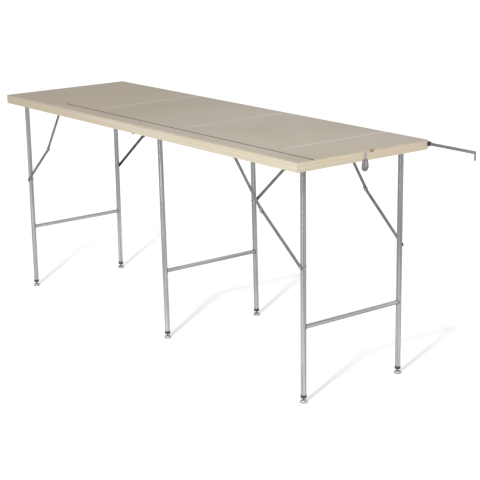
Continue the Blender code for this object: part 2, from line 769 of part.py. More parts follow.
def make_hinge_leaf(name, way, low_y, spans):
    """A leaf on one side of the fold: a plate, and a web and a knuckle for each of its spans."""
    top = RAIL_BOTTOM - SEAT_GAP
    low = top - LEAF_THICKNESS
    near = MIDDLE + way * (KNUCKLE_RADIUS + SEAT_GAP)
    far = MIDDLE + way * LEAF_REACH
    leaf = box(
        name,
        (min(near, far), low_y, low),
        (max(near, far), low_y + LEAF_LENGTH, top),
        FINISHES["bright_steel"],
    )
    inner = MIDDLE + way * (KNUCKLE_RADIUS + 2 * SEAT_GAP)
    for number, (start, end) in enumerate(spans):
        web = box(
            f"{name}_web_{number}",
            (min(MIDDLE, inner), low_y + start, low),
            (max(MIDDLE, inner), low_y + end, top),
            None,
        )
        knuckle = cylinder(f"{name}_knuckle_{number}", KNUCKLE_RADIUS, end - start, None, BOLT_STEPS)
        knuckle.location = (MIDDLE, low_y + start, HINGE_AXIS_HEIGHT)
        turn_to_y(knuckle, 1)
        combine(leaf, web, "UNION")
        combine(leaf, knuckle, "UNION")
    bore = cylinder(
        name + "_bore", PIN_RADIUS + SEAT_GAP, LEAF_LENGTH + 2 * OVERRUN, None, BOLT_STEPS
    )
    bore.location = (MIDDLE, low_y - OVERRUN, HINGE_AXIS_HEIGHT)
    turn_to_y(bore, 1)
    combine(leaf, bore, "DIFFERENCE")
    smooth(leaf)


def make_centre_hinges():
    """Two butt hinges under the fold, with the knuckles' line just below the rails."""
    for side_name, side in SIDES.items():
        low_y = LEAF_INSET if side < 0 else TABLE_WIDTH - LEAF_INSET - LEAF_LENGTH
        outer = [(0, OUTER_KNUCKLE), (LEAF_LENGTH - OUTER_KNUCKLE, LEAF_LENGTH)]
        inner = [(OUTER_KNUCKLE + SEAT_GAP, LEAF_LENGTH - OUTER_KNUCKLE - SEAT_GAP)]
        make_hinge_leaf("right_" + side_name + "_hinge_leaf", 1, low_y, outer)
        make_hinge_leaf("left_" + side_name + "_hinge_leaf", -1, low_y, inner)
        pin = cylinder(
            side_name + "_hinge_pin", PIN_RADIUS, LEAF_LENGTH, FINISHES["bright_steel"], BOLT_STEPS
        )
        pin.location = (MIDDLE, low_y, HINGE_AXIS_HEIGHT)
        turn_to_y(pin, 1)
        smooth(pin)


def hasp_outline():
    """A narrow neck on a pear-shaped body, hanging down from the pivot at (0, 0)."""
    neck = HASP_NECK_WIDTH / 2
    drop = HASP_BOTTOM_DROP - HASP_SHOULDER_DROP
    tilt = math.asin((HASP_BOTTOM_RADIUS - HASP_SHOULDER_RADIUS) / drop)
    shoulder_start = math.acos(neck / HASP_SHOULDER_RADIUS)
    shoulder = (0, -HASP_SHOULDER_DROP)
    bottom = (0, -HASP_BOTTOM_DROP)
    outline = arc((0, 0), neck, 0, math.pi, ARC_STEPS)
    outline += arc(shoulder, HASP_SHOULDER_RADIUS, math.pi - shoulder_start, math.pi - tilt, ARC_STEPS // 2)
    outline += arc(bottom, HASP_BOTTOM_RADIUS, math.pi - tilt, math.tau + tilt, 2 * ARC_STEPS)
    outline += arc(shoulder, HASP_SHOULDER_RADIUS, tilt, shoulder_start, ARC_STEPS // 2)
    return outline


def end_bore(rail, name, face_x, height, radius, depth, way):
    """A blind hole from an end rail's outer face, along +X or -X."""
    bore = cylinder(name, radius + HOLE_CLEARANCE, depth + SEAT_GAP + OVERRUN, None, BOLT_STEPS)
    bore.location = (face_x - way * OVERRUN, TABLE_WIDTH / 2, height)
    bore.rotation_euler = (0, way * math.pi / 2, 0)
    combine(rail, bore, "DIFFERENCE")


def make_hasp(end_rail):
    """The hasp that hangs on the right end, with a pocket in its back, and its screw."""
    pivot = (TABLE_LENGTH + SEAT_GAP + HASP_THICKNESS / 2, TABLE_WIDTH / 2, HASP_PIVOT_HEIGHT)
    hasp = plate("hasp", hasp_outline(), HASP_THICKNESS, FINISHES["hasp_steel"])
    round_edges(hasp, HASP_ROUNDING)
    hole = cylinder("hasp_hole", HASP_SCREW_RADIUS + HOLE_CLEARANCE, 2 * LINK_WIDTH, None, BOLT_STEPS)
    hole.location = (0, 0, -LINK_WIDTH)
    pocket_depth = STUD_REACH + HASP_POCKET_CLEARANCE - SEAT_GAP
    pocket = cylinder(
        "hasp_pocket", STUD_HEAD_RADIUS + HASP_POCKET_CLEARANCE, pocket_depth + OVERRUN, None, BOLT_STEPS
    )
    pocket.location = (0, -HASP_BOTTOM_DROP, -HASP_THICKNESS / 2 - OVERRUN)
    combine(hasp, hole, "DIFFERENCE")
    combine(hasp, pocket, "DIFFERENCE")
    hang([hole, pocket], hasp)
    hasp.rotation_euler = (math.pi / 2, 0, math.pi / 2)
    hasp.location = pivot

    shank = SEAT_GAP + HASP_THICKNESS + SEAT_GAP + SCREW_LENGTH
    profile = screw_profile(HASP_SCREW_RADIUS, HASP_SCREW_HEAD_RADIUS, shank)
    screw = turned("hasp_screw", profile, FINISHES["bright_steel"], BOLT_STEPS)
    head_x = TABLE_LENGTH + SEAT_GAP + HASP_THICKNESS + SEAT_GAP
    screw.location = (head_x, TABLE_WIDTH / 2, HASP_PIVOT_HEIGHT)
    screw.rotation_euler = (0, math.pi / 2, 0)
    smooth(screw)
    end_bore(
        end_rail, "hasp_screw_bore", TABLE_LENGTH, HASP_PIVOT_HEIGHT, HASP_SCREW_RADIUS, SCREW_LENGTH, -1
    )


def make_stud(end_rail):
    """The round stud on the left end, which the hasp's pocket snaps over when the board is folded."""
    height = 2 * HINGE_AXIS_HEIGHT - (HASP_PIVOT_HEIGHT - HASP_BOTTOM_DROP)
    profile = dome(STUD_HEAD_RADIUS, STUD_HEAD_HEIGHT, SEAT_GAP) + [
        (STUD_RADIUS, SEAT_GAP),
        (STUD_RADIUS, -STUD_LENGTH),
        (0, -STUD_LENGTH),
    ]
    stud = turned("hasp_stud", profile, FINISHES["bright_steel"], BOLT_STEPS)
    stud.location = (0, TABLE_WIDTH / 2, height)
    stud.rotation_euler = (0, -math.pi / 2, 0)
    smooth(stud)
    end_bore(end_rail, "stud_bore", 0, height, STUD_RADIUS, STUD_LENGTH, 1)


def make_catch_plate(board, end_rail):
    """A notch in the top edge of the right end, with a steel plate set into it."""
    centre_y = TABLE_WIDTH / 2 + NOTCH_OFFSET
    low = (TABLE_LENGTH - NOTCH_REACH, centre_y - NOTCH_WIDTH / 2, TABLE_HEIGHT - NOTCH_DEPTH)
    high = (TABLE_LENGTH + OVERRUN, centre_y + NOTCH_WIDTH / 2, TABLE_HEIGHT + OVERRUN)
    for owner in (board, end_rail):
        notch = box(owner.name + "_notch", low, high, None)
        combine(owner, notch, "DIFFERENCE")
    plate_low = [value + SEAT_GAP for value in low]
    plate_high = (plate_low[0] + CATCH_THICKNESS, high[1] - SEAT_GAP, TABLE_HEIGHT - SEAT_GAP)
    box("catch_plate", plate_low, plate_high, FINISHES["dark_steel"])


def make_arm():
    """A flat arm with a turned-down finger that slides in two guides on the back rail."""
    centre_y = TABLE_WIDTH + SEAT_GAP + GUIDE_DEPTH / 2
    centre_z = TABLE_HEIGHT - ARM_DEPTH
    guide_end = TABLE_LENGTH + GUIDE_OVERHANG
    inner_guide_end = guide_end - GUIDE_SPACING
    stop_end = inner_guide_end - GUIDE_LENGTH - SEAT_GAP
    stop_start = stop_end - STOP_WIDTH
    tip = TABLE_LENGTH + ARM_REACH
    top = ARM_HEIGHT / 2
    outline = [
        (stop_start, top),
        (stop_start, top - STOP_DROP),
        (stop_end, top - STOP_DROP),
        (stop_end, -top),
        (tip - FINGER_WIDTH, -top),
        (tip - FINGER_WIDTH, -FINGER_DROP),
        (tip, -FINGER_DROP),
        (tip, top),
    ]
    arm = plate("pull_out_arm", outline, ARM_THICKNESS, FINISHES["arm_steel"])
    arm.rotation_euler = (math.pi / 2, 0, 0)
    arm.location = (0, centre_y, centre_z)
    for name, end in (("outer_arm_guide", guide_end), ("inner_arm_guide", inner_guide_end)):
        guide = box(
            name,
            (end - GUIDE_LENGTH, centre_y - GUIDE_DEPTH / 2, centre_z - GUIDE_HEIGHT / 2),
            (end, centre_y + GUIDE_DEPTH / 2, centre_z + GUIDE_HEIGHT / 2),
            FINISHES["black_plastic"],
            EDGE_ROUNDING,
        )
        half_gap = ARM_THICKNESS / 2 + SEAT_GAP
        half_slot = ARM_HEIGHT / 2 + SEAT_GAP
        slot = box(
            name + "_slot",
            (end - GUIDE_LENGTH - OVERRUN, centre_y - half_gap, centre_z - half_slot),
            (end + OVERRUN, centre_y + half_gap, centre_z + half_slot),
            None,
        )
        combine(guide, slot, "DIFFERENCE")


def centre_everything():
    """Moves the whole model so that it stands centred on the origin."""
    loose = [obj for obj in bpy.data.objects if obj.parent is None]
    root = bpy.data.objects.new("table_place", None)
    PARTS.objects.link(root)
    root.location = (-CENTRE_X, -CENTRE_Y, 0)
    for obj in loose:
        obj.parent = root


def main():
    boards = {
        "left": make_board("left", 0, LEFT_END),
        "right": make_board("right", RIGHT_START, TABLE_LENGTH),
    }
    rails = {
        "left": make_rails("left", LEFT_END, 0),
        "right": make_rails("right", RIGHT_START, TABLE_LENGTH),
    }
    make_centre_hinges()
    leg_frames = {}
    for name in FRAMES:
        leg_frames[name] = make_leg_frame(name)
        make_saddles(name, one_flange=name == "middle")
    for name, side_name in BRACES:
        half = "left" if name == "left" else "right"
        leg_axis, legs = leg_frames[name]
        make_brace(name, side_name, leg_axis, legs, rails[half][side_name])
    make_spare_rivet(*leg_frames["middle"])
    make_hasp(rails["right"]["end"])
    make_stud(rails["left"]["end"])
    make_catch_plate(boards["right"], rails["right"]["end"])
    make_arm()
    centre_everything()


clear_scene()
PARTS = new_collection("pasting_table")
CUTTERS = new_collection("cutters")
FINISHES = {
    "laminate": finish("grey_beige_laminate", (0.42, 0.37, 0.30), 0.55, 0),
    "rail_wood": finish("pale_rail_wood", (0.70, 0.62, 0.46), 0.6, 0),
    "zinc_tube": finish("zinc_plated_tube", (0.46, 0.48, 0.48), 0.35, 1),
    "brace_steel": finish("grey_brace_steel", (0.22, 0.22, 0.21), 0.45, 1),
    "bright_steel": finish("bright_steel", (0.55, 0.55, 0.54), 0.35, 1),
    "dark_steel": finish("dark_steel", (0.16, 0.15, 0.12), 0.5, 1),
    "hasp_steel": finish("hasp_steel", (0.34, 0.34, 0.38), 0.4, 1),
    "arm_steel": finish("arm_steel", (0.30, 0.29, 0.27), 0.4, 1),
    "foot_zinc": finish("foot_zinc", (0.60, 0.60, 0.60), 0.3, 1),
    "black_plastic": finish("black_plastic", (0.02, 0.02, 0.02), 0.5, 0),
}
main()
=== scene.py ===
"""Looks of the wallpaper pasting table, laid out as a Blender add-on and run as a script.

Metres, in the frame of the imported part. Places on the table are given from the board's front left
corner, and at() moves them to the scene.
"""

import math

import bmesh
import bpy
from mathutils import Matrix, Vector


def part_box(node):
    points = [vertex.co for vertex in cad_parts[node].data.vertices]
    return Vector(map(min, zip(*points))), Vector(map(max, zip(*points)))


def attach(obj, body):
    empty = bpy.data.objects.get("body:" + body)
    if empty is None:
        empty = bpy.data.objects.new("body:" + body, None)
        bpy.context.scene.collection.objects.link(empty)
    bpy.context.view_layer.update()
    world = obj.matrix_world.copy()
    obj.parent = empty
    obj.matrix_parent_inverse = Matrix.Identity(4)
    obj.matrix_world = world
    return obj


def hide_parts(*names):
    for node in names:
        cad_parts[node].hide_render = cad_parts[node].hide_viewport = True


bl_info = {
    "name": "Wallpaper Pasting Table",
    "version": (1, 0, 0),
    "blender": (4, 5, 0),
    "location": "3D Viewport > Sidebar > Pasting Table",
    "description": "Builds the dressed boards, rails, leg frames, braces and fittings of a pasting table",
    "category": "Add Mesh",
}

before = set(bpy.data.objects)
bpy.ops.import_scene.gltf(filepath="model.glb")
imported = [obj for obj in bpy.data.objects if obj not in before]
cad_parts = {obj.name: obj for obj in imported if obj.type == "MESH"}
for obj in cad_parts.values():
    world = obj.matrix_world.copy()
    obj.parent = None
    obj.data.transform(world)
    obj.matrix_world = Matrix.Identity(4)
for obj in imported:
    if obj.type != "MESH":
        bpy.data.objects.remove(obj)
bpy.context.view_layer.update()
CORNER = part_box("left_board")[0] * Vector((1, 1, 0))
BOARD_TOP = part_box("left_board")[1].z
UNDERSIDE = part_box("left_board")[0].z
TABLE_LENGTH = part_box("right_board")[1].x - CORNER.x
TABLE_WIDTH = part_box("right_board")[1].y - CORNER.y
RAIL_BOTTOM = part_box("left_front_rail")[0].z

MM = 0.001
SEAT_GAP = 0.0003
MERGE_DISTANCE = 0.000002
CUT_DISTANCE = 0.0000005

# Board and rails
RAIL_THICKNESS = 0.015
GROOVE_INSET = 0.062
GROOVE_WIDTH = 0.006
GROOVE_DEPTH = 0.002
CROSS_LINES = (0.547, 1.088, 1.610)
CROSS_LINE_START = 0.085
CROSS_LINE_FULL = 0.12
# How far from the left end the painted shade on the top runs, standing in for the light's falloff
COAT_FALLOFF_RUN = 1.3
# Where the rails' painted shade, standing in for the light's falloff, is full and where it fades out
RAIL_SHADE_FULL = -0.2
RAIL_SHADE_NONE = 1.1

# Leg frames, collars and feet
TUBE_RADIUS = 0.009
CROSSBAR_RADIUS = 0.007
BEND_RADIUS = 0.04
SIDE_INSET = 0.067
CROSSBAR_HEIGHT = 0.253
TUBE_END = 0.019
WELD_RADIUS = 0.0013
WELD_STANDOFF = 0.0004
# Painted shade on the tubes: the heights over which it rises, and how far along the table it grows
TUBE_SHADE_LOW = 0.1
TUBE_SHADE_HIGH = 0.5
TUBE_SHADE_RUN = 1.6
COLLAR_RADIUS = 0.0102
COLLAR_BOTTOM = 0.0165
COLLAR_TOP = 0.0265
STEM_BORE_RADIUS = 0.0034
STEM_TOP = 0.042
STEM_RADIUS = 0.003
THREAD_ROOT = 0.00262
THREAD_PITCH = 0.001
THREAD_TURNS = 31
FOOT_RADIUS = 0.0125
FOOT_BASE_RADIUS = 0.0113
FOOT_DOME_RADIUS = 0.0065
FOOT_HEIGHT = 0.0095
FOOT_NECK_RADIUS = 0.0048
SOLE_RADIUS = 0.009
HOLLOW_RADIUS = 0.0085
HOLLOW_DEPTH = 0.0004

# Saddles and hinges
STRAP_THICKNESS = 0.0015
STRAP_SPACING = 0.22
FLANGE_SCREW_INSET = 0.005
FLANGE_SCREW_HEAD = (0.0032, 0.0016)
LEAF_SCREW_INSET = 0.008
LEAF_SCREW_REACH = 0.0075
LEAF_SCREW_HEAD = (0.0028, 0.0009)
PLATE_FACE = 0.0017

# Braces and their bolts
LEG_PIVOT_HEIGHT = 0.45
LINK_WIDTH = 0.012
LINK_THICKNESS = 0.0025
LINK_END = 0.008
LINK_FLAT = 0.016
LINK_ROUNDING = 0.0005
BEND_STEPS = (-0.005, -0.0025, 0, 0.0025, 0.005)
KNEE_OVERLAP = 0.013
KNEE_EYE_RADIUS = 0.0075
KNEE_EYE_STEP = 0.0002
KNEE_EYE_ROUNDING = 0.0004
KNEE_INSET = 0.0502
KNEE_SLACK = 0.0028
FOLDED_STEP = 0.014
RIVET_RADIUS = 0.005
RIVET_HEIGHT = 0.0015
RIVET_SINK = 0.0006
HEAD_SINK = 0.0001
BOLT_RADIUS = 0.0025
BOLT_HEAD_RADIUS = 0.0045
BOLT_HEAD_HEIGHT = 0.003
SCREW_HEAD_HEIGHT = 0.0025
SCREW_LENGTH = 0.0125
SCREW_TIP_LENGTH = 0.0013
SCREW_TIP_RADIUS = 0.0006
TOP_FLAT = 0.01
TOP_BEND_RUN = 0.022
TOP_BEND_INSET = 0.037

# Hasp
HASP_DROP = 0.008
HASP_THICKNESS = 0.002
HASP_ROUNDING = 0.0006
NECK_RADIUS = 0.0045
SHOULDER_RADIUS = 0.0125
SHOULDER_DROP = 0.029
BOTTOM_RADIUS = 0.015
BOTTOM_DROP = 0.0435
# Painted highlights of the hasp: on its neck, and round its raised middle
NECK_HIGHLIGHT_FULL = -0.014
NECK_HIGHLIGHT_FADED = -0.022
HIGHLIGHT_CROWN = (0, 0.002, -0.034)
CROWN_HIGHLIGHT_FULL = 0.002
CROWN_HIGHLIGHT_FADED = 0.009
DISH_SIZE = (0.0042, 0.0118, 0.0178)
DISH_TAPER = 0.0016
DISH_DROP = 0.038
HASP_SCREW_RADIUS = 0.002
HASP_SCREW_LENGTH = 0.0125
HASP_SCREW_HEAD_RADIUS = 0.0038
HASP_SCREW_HEAD_HEIGHT = 0.0022

# Pull-out arm and its guides' straps
ARM_HEIGHT = 0.01
STOP_DROP = 0.018
STOP_WIDTH = 0.006
STOP_CHAMFER = 0.001
FINGER_WIDTH = 0.008
FINGER_TIP_RADIUS = 0.003
ARM_INNER_RADIUS = 0.002
ARM_OUTER_RADIUS = 0.0035
ARM_ROUNDING = 0.0006
BAND_THICKNESS = 0.0008
BAND_WIDTH = 0.009
BAND_INSET = 0.014
BAND_ROUNDING = 0.00025
BAND_FLANGE_ABOVE = 0.005
BAND_FLANGE_BELOW = 0.006
BAND_RIVET_ABOVE = 0.003
BAND_RIVET_BELOW = 0.0034
BAND_RIVET_HEAD = (0.0017, 0.0007)

# Studio
FLOOR_RADIUS = 30
LIFT_START = 0.9
LIFT_END = 4.0
TABLE_MIDDLE = Vector((0, 0, 0.5))
KEY_PLACE = Vector((2.3, -2.4, 3.8))
KEY_SIZE = 2.0
SHADOW_LAMP_PLACE = Vector((2.76, -4.52, 7.8))
SHADOW_LAMP_SIZE = 0.56
STRIP_PLACE = Vector((1.3, -2.3, 0.5))
STRIP_WIDTH = 0.1
STRIP_HEIGHT = 1.6
CAMERA_PLACE = Vector((3.86535, -2.86265, 1.6236))
CAMERA_AZIMUTH = math.radians(52.278)
CAMERA_DOWN = math.radians(14.8835)
CAMERA_ROLL = math.radians(-0.8406)
CAMERA_LENS = 102.38
CAMERA_SENSOR = 36
CAMERA_SHIFT = (-0.00625, 0.00208)
CAMERA_REACH = 60

# The axis of each frame's top tube, how far it is set back, its lean and which way it folds, how
# many degrees its folded leg drops, and how far below the top its braces' rail screws are.
FRAMES = {
    "left": {"x": 0.0375, "z": 0.786, "shift": 0, "lean": 0, "folds": 1, "drop": 0.5, "depth": 0.017},
    "middle": {
        "x": 0.9264,
        "z": 0.7675,
        "shift": 0.033,
        "lean": math.radians(1.1),
        "folds": 1,
        "drop": 3.4,
        "depth": 0.025,
    },
    "right": {"x": 1.747, "z": 0.786, "shift": 0, "lean": 0, "folds": -1, "drop": 0.5, "depth": 0.017},
}
SIDES = {"front": -1, "back": 1}
BRACES = (("left", "front"), ("left", "back"), ("middle", "back"), ("right", "front"), ("right", "back"))

# Grain of the metals in millimetres along X, Y and Z: even, drawn along the strip, and turned
EVEN = (2, 2, 2)
ALONG_X = (16, 1, 1)
TURNED = (5, 5, 0.4)

# Settings of nodes that are used more than once
COLOUR_MIX = {"data_type": "RGBA"}
SOFT_STEP = {"interpolation_type": "SMOOTHSTEP"}
SUBTRACT = {"operation": "SUBTRACT"}
MULTIPLY = {"operation": "MULTIPLY"}
MAXIMUM = {"operation": "MAXIMUM"}
LENGTH = {"operation": "LENGTH"}


def linear(code):
    """An sRGB hex colour as linear red, green, blue and an alpha of 1."""
    parts = [int(code[i : i + 2], 16) / 255 for i in (1, 3, 5)]
    return tuple(c / 12.92 if c <= 0.04045 else ((c + 0.055) / 1.055) ** 2.4 for c in parts) + (1,)


def per(size):
    """How often a pattern of this size, in millimetres, repeats in a metre."""
    return 1 / (size * MM)


def wave_scale(size):
    """The scale of a wave texture for bands this many millimetres apart. At 2 pi it has 20 a metre."""
    return per(size) * math.tau / 20


def at(x, y, z):
    """A place given from the board's front left corner."""
    return CORNER + Vector((x, y, z))


def from_side(distance, side):
    """The Y of a place this far inwards from the front or back face of the board."""
    return distance if side < 0 else TABLE_WIDTH - distance


def colour(name, description, code):
    return bpy.props.FloatVectorProperty(
        name=name, description=description, subtype="COLOR", size=4, min=0, max=1, default=linear(code)
    )


def length(name, description, default):
    return bpy.props.FloatProperty(
        name=name, description=description, default=default, min=0, unit="LENGTH", precision=4
    )


def level(name, description, default):
    return bpy.props.FloatProperty(name=name, description=description, default=default, min=0)


def power(name, description, default):
    return bpy.props.FloatProperty(
        name=name, description=description, default=default, min=0, unit="POWER"
    )


class BoardSettings(bpy.types.PropertyGroup):
    """Colours and sizes of the work board."""

    coat: colour("Coat", "Grey-beige lacquer of the top face", "#B0A697")
    coat_shade: colour("Coat shade", "Darker clouds in the lacquer", "#A59B8B")
    # Painted shade: the light's falloff towards the left end, drawn as a darker, warmer coat
    coat_falloff_shade: colour("Yellowed coat", "Lacquer that has yellowed towards the left end", "#A2957F")
    cross_line: colour("Cross line", "Pale lines across the board, one paper width apart", "#CBC5BA")
    groove: colour("Groove", "Bare bottom of the trimming groove", "#4E483A")
    edge: colour("Edge", "Pale sawn edge of the board", "#DED4BE")
    underside: colour("Underside", "Brown meshed back of the hardboard", "#8A6A48")
    line_width: length("Line width", "Width of a pale cross line", 0.012)
    edge_softness: length("Edge softness", "Rounding of the board's top edges", 0.0006)


class TimberSettings(bpy.types.PropertyGroup):
    """Colours of the planed rails."""

    early: colour("Early wood", "Pale wood between the growth lines", "#EBE1CC")
    late: colour("Late wood", "Darker growth lines", "#D7C9AB")
    warm: colour("Warm patch", "Yellow patches where the grain runs out", "#E7D6AC")
    rosy: colour("Rosy patch", "Pinkish heartwood patches", "#E4D3C0")
    # Painted shade: darker wood towards the left end, where the light falls off
    rail_falloff_shade: colour("Handled wood", "Darker wood towards the left end", "#BBAD92")


class MetalSettings(bpy.types.PropertyGroup):
    """Colours of the plated and rolled steels."""

    zinc: colour("Zinc", "Zinc plating of the leg tubes", "#C3C6C9")
    # Painted shade: the tubes' colour up near the board, darker than the zinc lower down, less so at the
    # left end
    tube_shade: colour("Tarnish", "Zinc that has dulled near the board", "#919497")
    weld: colour("Weld", "Dull weld beads at the crossbars", "#7C7A76")
    brace: colour("Brace", "Rolled strip of the braces", "#898887")
    # The left back brace's strip is given a darker colour than the others
    dark_brace: colour("Oiled brace", "Dark oiled strip of the left back brace", "#5A5958")
    bright: colour("Bright", "Bright plated bolts, saddles and hinges", "#ACADAC")
    hasp: colour("Hasp", "Rim and body of the pressed hasp", "#85848A")
    # Painted highlight on the hasp's neck and raised middle
    hasp_highlight: colour("Bright hasp", "Neck and raised middle of the hasp", "#BDB6BC")
    arm: colour("Arm", "Strip of the pull-out arm", "#8E8D8E")
    catch: colour("Catch", "Browned catch plate", "#A6977C")
    foot: colour("Foot", "Turned screw feet", "#BEBEBB")


class PlasticSettings(bpy.types.PropertyGroup):
    """Colours of the moulded plastics."""

    black: colour("Black", "Arm guides", "#1D1D1E")
    worn: colour("Worn black", "Collars at the tubes' lower ends, greyed by use", "#3D3D3F")


class StudioSettings(bpy.types.PropertyGroup):
    """Light levels and the floor."""

    floor: colour("Floor", "Matt white floor", "#E0E0DE")
    key: power("Key", "Power of the main lamp", 125)
    surround: level("Surround", "Strength of the even light from all round", 0.5)
    near_lift: level("Near lift", "How much whiter the camera sees the floor by the table", 0.47)
    far_lift: level("Far lift", "How much whiter the camera sees the floor far away", 0.66)
    shadow_lamp: power("Shadow lamp", "Power of the lamp that draws the legs' shadows", 400)
    strip_lamp: power("Strip lamp", "Power of the lamp that draws a light line down each leg", 10)


GROUPS = {
    "table_board": BoardSettings,
    "table_timber": TimberSettings,
    "table_metal": MetalSettings,
    "table_plastic": PlasticSettings,
    "table_studio": StudioSettings,
}


def live(item):
    """A node's first output that its settings leave in use. A socket or a plain value stays as it is."""
    if isinstance(item, bpy.types.Node):
        return next(output for output in item.outputs if output.enabled)
    return item


def add(tree, kind, settings=None, inputs=None, goes_to=None):
    """Adds a node with its settings. Inputs take values, sockets or nodes, and it may feed a socket."""
    node = tree.nodes.new("ShaderNode" + kind)
    for name, value in (settings or {}).items():
        setattr(node, name, value)
    for key, value in (inputs or {}).items():
        value = live(value)
        if isinstance(value, bpy.types.NodeSocket):
            tree.links.new(value, node.inputs[key])
        else:
            node.inputs[key].default_value = value
    if goes_to:
        tree.links.new(live(node), goes_to)
    return node


def material(name, **sockets):
    """A named material, its tree, its shader and the place on the object that its patterns read."""
    made = bpy.data.materials.new(name)
    made.use_nodes = True
    tree = made.node_tree
    shader = tree.nodes["Principled BSDF"]
    for key, value in sockets.items():
        shader.inputs[key.replace("_", " ")].default_value = value
    return made, tree, shader, add(tree, "TexCoord").outputs["Object"]


def surface(tree, shader, shades, height, strength, depth):
    """Ends a material: its mix of shades, and a fine relief whose depth is in millimetres."""
    add(tree, "Mix", COLOUR_MIX, shades, shader.inputs["Base Color"])
    bump = {"Height": height, "Strength": strength, "Distance": depth * MM}
    add(tree, "Bump", {}, bump, shader.inputs["Normal"])


def lacquered_hardboard(look):
    """Lacquer sprayed on hardboard: satin grey-beige, faintly clouded, with a fine orange peel.

    Pale lines lie across it, one paper width apart and worn thin in places. The specks of the
    fibre under the lacquer are 1 mm apart, a little coarser than real, so that they show.
    """
    made, tree, shader, place = material("lacquered_hardboard", IOR=1.5)
    clouds = add(tree, "TexNoise", {}, {"Vector": place, "Scale": per(450), "Detail": 3})
    cloudy = add(tree, "MapRange", {}, {"Value": clouds, "From Min": 0.35, "From Max": 0.65})
    tone = add(tree, "Mix", COLOUR_MIX, {0: cloudy, 6: look.coat[:], 7: look.coat_shade[:]})
    speck = add(tree, "TexNoise", {}, {"Vector": place, "Scale": per(1), "Detail": 2})
    flecks = {"Value": speck, "From Min": 0.55, "From Max": 0.8, "To Max": 0.14}
    specked = add(tree, "MapRange", {}, flecks)
    tone = add(tree, "Mix", COLOUR_MIX, {0: specked, 6: tone, 7: linear("#7A7060")})
    axes = add(tree, "SeparateXYZ", {}, {0: place})
    # Painted shade: the coat turns darker and warmer towards the left end, standing in for the light
    # falling off there
    coat_falloff_span = {"Value": axes, "From Min": CORNER.x + COAT_FALLOFF_RUN, "From Max": CORNER.x, "To Max": 0.75}
    coat_falloff_share = add(tree, "MapRange", SOFT_STEP, coat_falloff_span)
    tone = add(tree, "Mix", COLOUR_MIX, {0: coat_falloff_share, 6: tone, 7: look.coat_falloff_shade[:]})

    nearest = None
    for line_x in CROSS_LINES:
        offset = add(tree, "Math", SUBTRACT, {0: axes, 1: CORNER.x + line_x})
        away = add(tree, "Math", {"operation": "ABSOLUTE"}, {0: offset})
        if nearest:
            away = add(tree, "Math", {"operation": "MINIMUM"}, {0: nearest, 1: away})
        nearest = away
    half = look.line_width / 2
    fade = {"Value": nearest, "From Min": half * 0.2, "From Max": half * 1.5, "To Min": 1, "To Max": 0}
    line = add(tree, "MapRange", SOFT_STEP, fade)
    start = CORNER.y + CROSS_LINE_START
    full = CORNER.y + CROSS_LINE_FULL
    opening = {"Value": axes.outputs["Y"], "From Min": start, "From Max": full}
    opened = add(tree, "MapRange", SOFT_STEP, opening)
    drawn = add(tree, "Math", MULTIPLY, {0: line, 1: opened})
    wear = add(tree, "TexNoise", {}, {"Vector": place, "Scale": per(110), "Detail": 3})
    thinning = {"Value": wear, "From Min": 0.3, "From Max": 0.6, "To Min": 0.4, "To Max": 0.85}
    share = add(tree, "Math", MULTIPLY, {0: drawn, 1: add(tree, "MapRange", {}, thinning)})

    peel = add(tree, "TexNoise", {}, {"Vector": place, "Scale": per(3), "Detail": 3})
    shades = {0: share, 6: tone, 7: look.cross_line[:]}
    surface(tree, shader, shades, peel, 0.12, 0.4)
    gloss = {"Value": clouds, "To Min": 0.48, "To Max": 0.6}
    add(tree, "MapRange", {}, gloss, shader.inputs["Roughness"])
    return made


def routed_groove(look):
    """Hardboard bared by a router: dark, matt and fuzzy, with tool marks that run along it."""
    made, tree, shader, place = material("routed_hardboard", Roughness=0.85)
    along = add(tree, "Mapping", {}, {"Vector": place, "Scale": (per(16), per(1), per(1))})
    fuzz = add(tree, "TexNoise", {}, {"Vector": along, "Scale": 1, "Detail": 4})
    shades = {0: fuzz, 6: look.groove[:], 7: linear("#6B6352")}
    surface(tree, shader, shades, fuzz, 0.4, 0.3)
    return made


def sawn_board_edge(look):
    """The sawn edge of the thin board: pale and matt, with fine darker layers 0.7 mm apart along it."""
    made, tree, shader, place = material("sawn_board_edge", Roughness=0.7)
    along = add(tree, "Mapping", {}, {"Vector": place, "Scale": (per(160), per(160), per(0.7))})
    layers = add(tree, "TexNoise", {}, {"Vector": along, "Scale": 1, "Detail": 3})
    darker = {"Value": layers, "From Min": 0.4, "From Max": 0.75, "To Max": 0.55}
    shades = {0: add(tree, "MapRange", {}, darker), 6: look.edge[:], 7: linear("#C3B595")}
    surface(tree, shader, shades, layers, 0.3, 0.2)
    return made


def meshed_hardboard_back(look):
    """The back of hardboard, pressed on a wire screen: brown and matt, with a 2 mm mesh print."""
    made, tree, shader, place = material("meshed_hardboard_back", Roughness=0.9)
    fibre = add(tree, "TexNoise", {}, {"Vector": place, "Scale": per(6), "Detail": 5})
    stain = add(tree, "TexNoise", {}, {"Vector": place, "Scale": per(220), "Detail": 2})
    both = add(tree, "Math", MULTIPLY, {0: fibre, 1: stain})
    share = add(tree, "MapRange", {}, {"Value": both, "From Min": 0.12, "From Max": 0.4})
    wave = {"Vector": place, "Scale": wave_scale(2), "Distortion": 0.6}
    across = add(tree, "TexWave", {"bands_direction": "X"}, wave).outputs["Fac"]
    along = add(tree, "TexWave", {"bands_direction": "Y"}, wave).outputs["Fac"]
    mesh_print = add(tree, "Math", MULTIPLY, {0: across, 1: along})
    shades = {0: share, 6: look.underside[:], 7: linear("#AD8C62")}
    surface(tree, shader, shades, mesh_print, 0.6, 0.4)
    return made


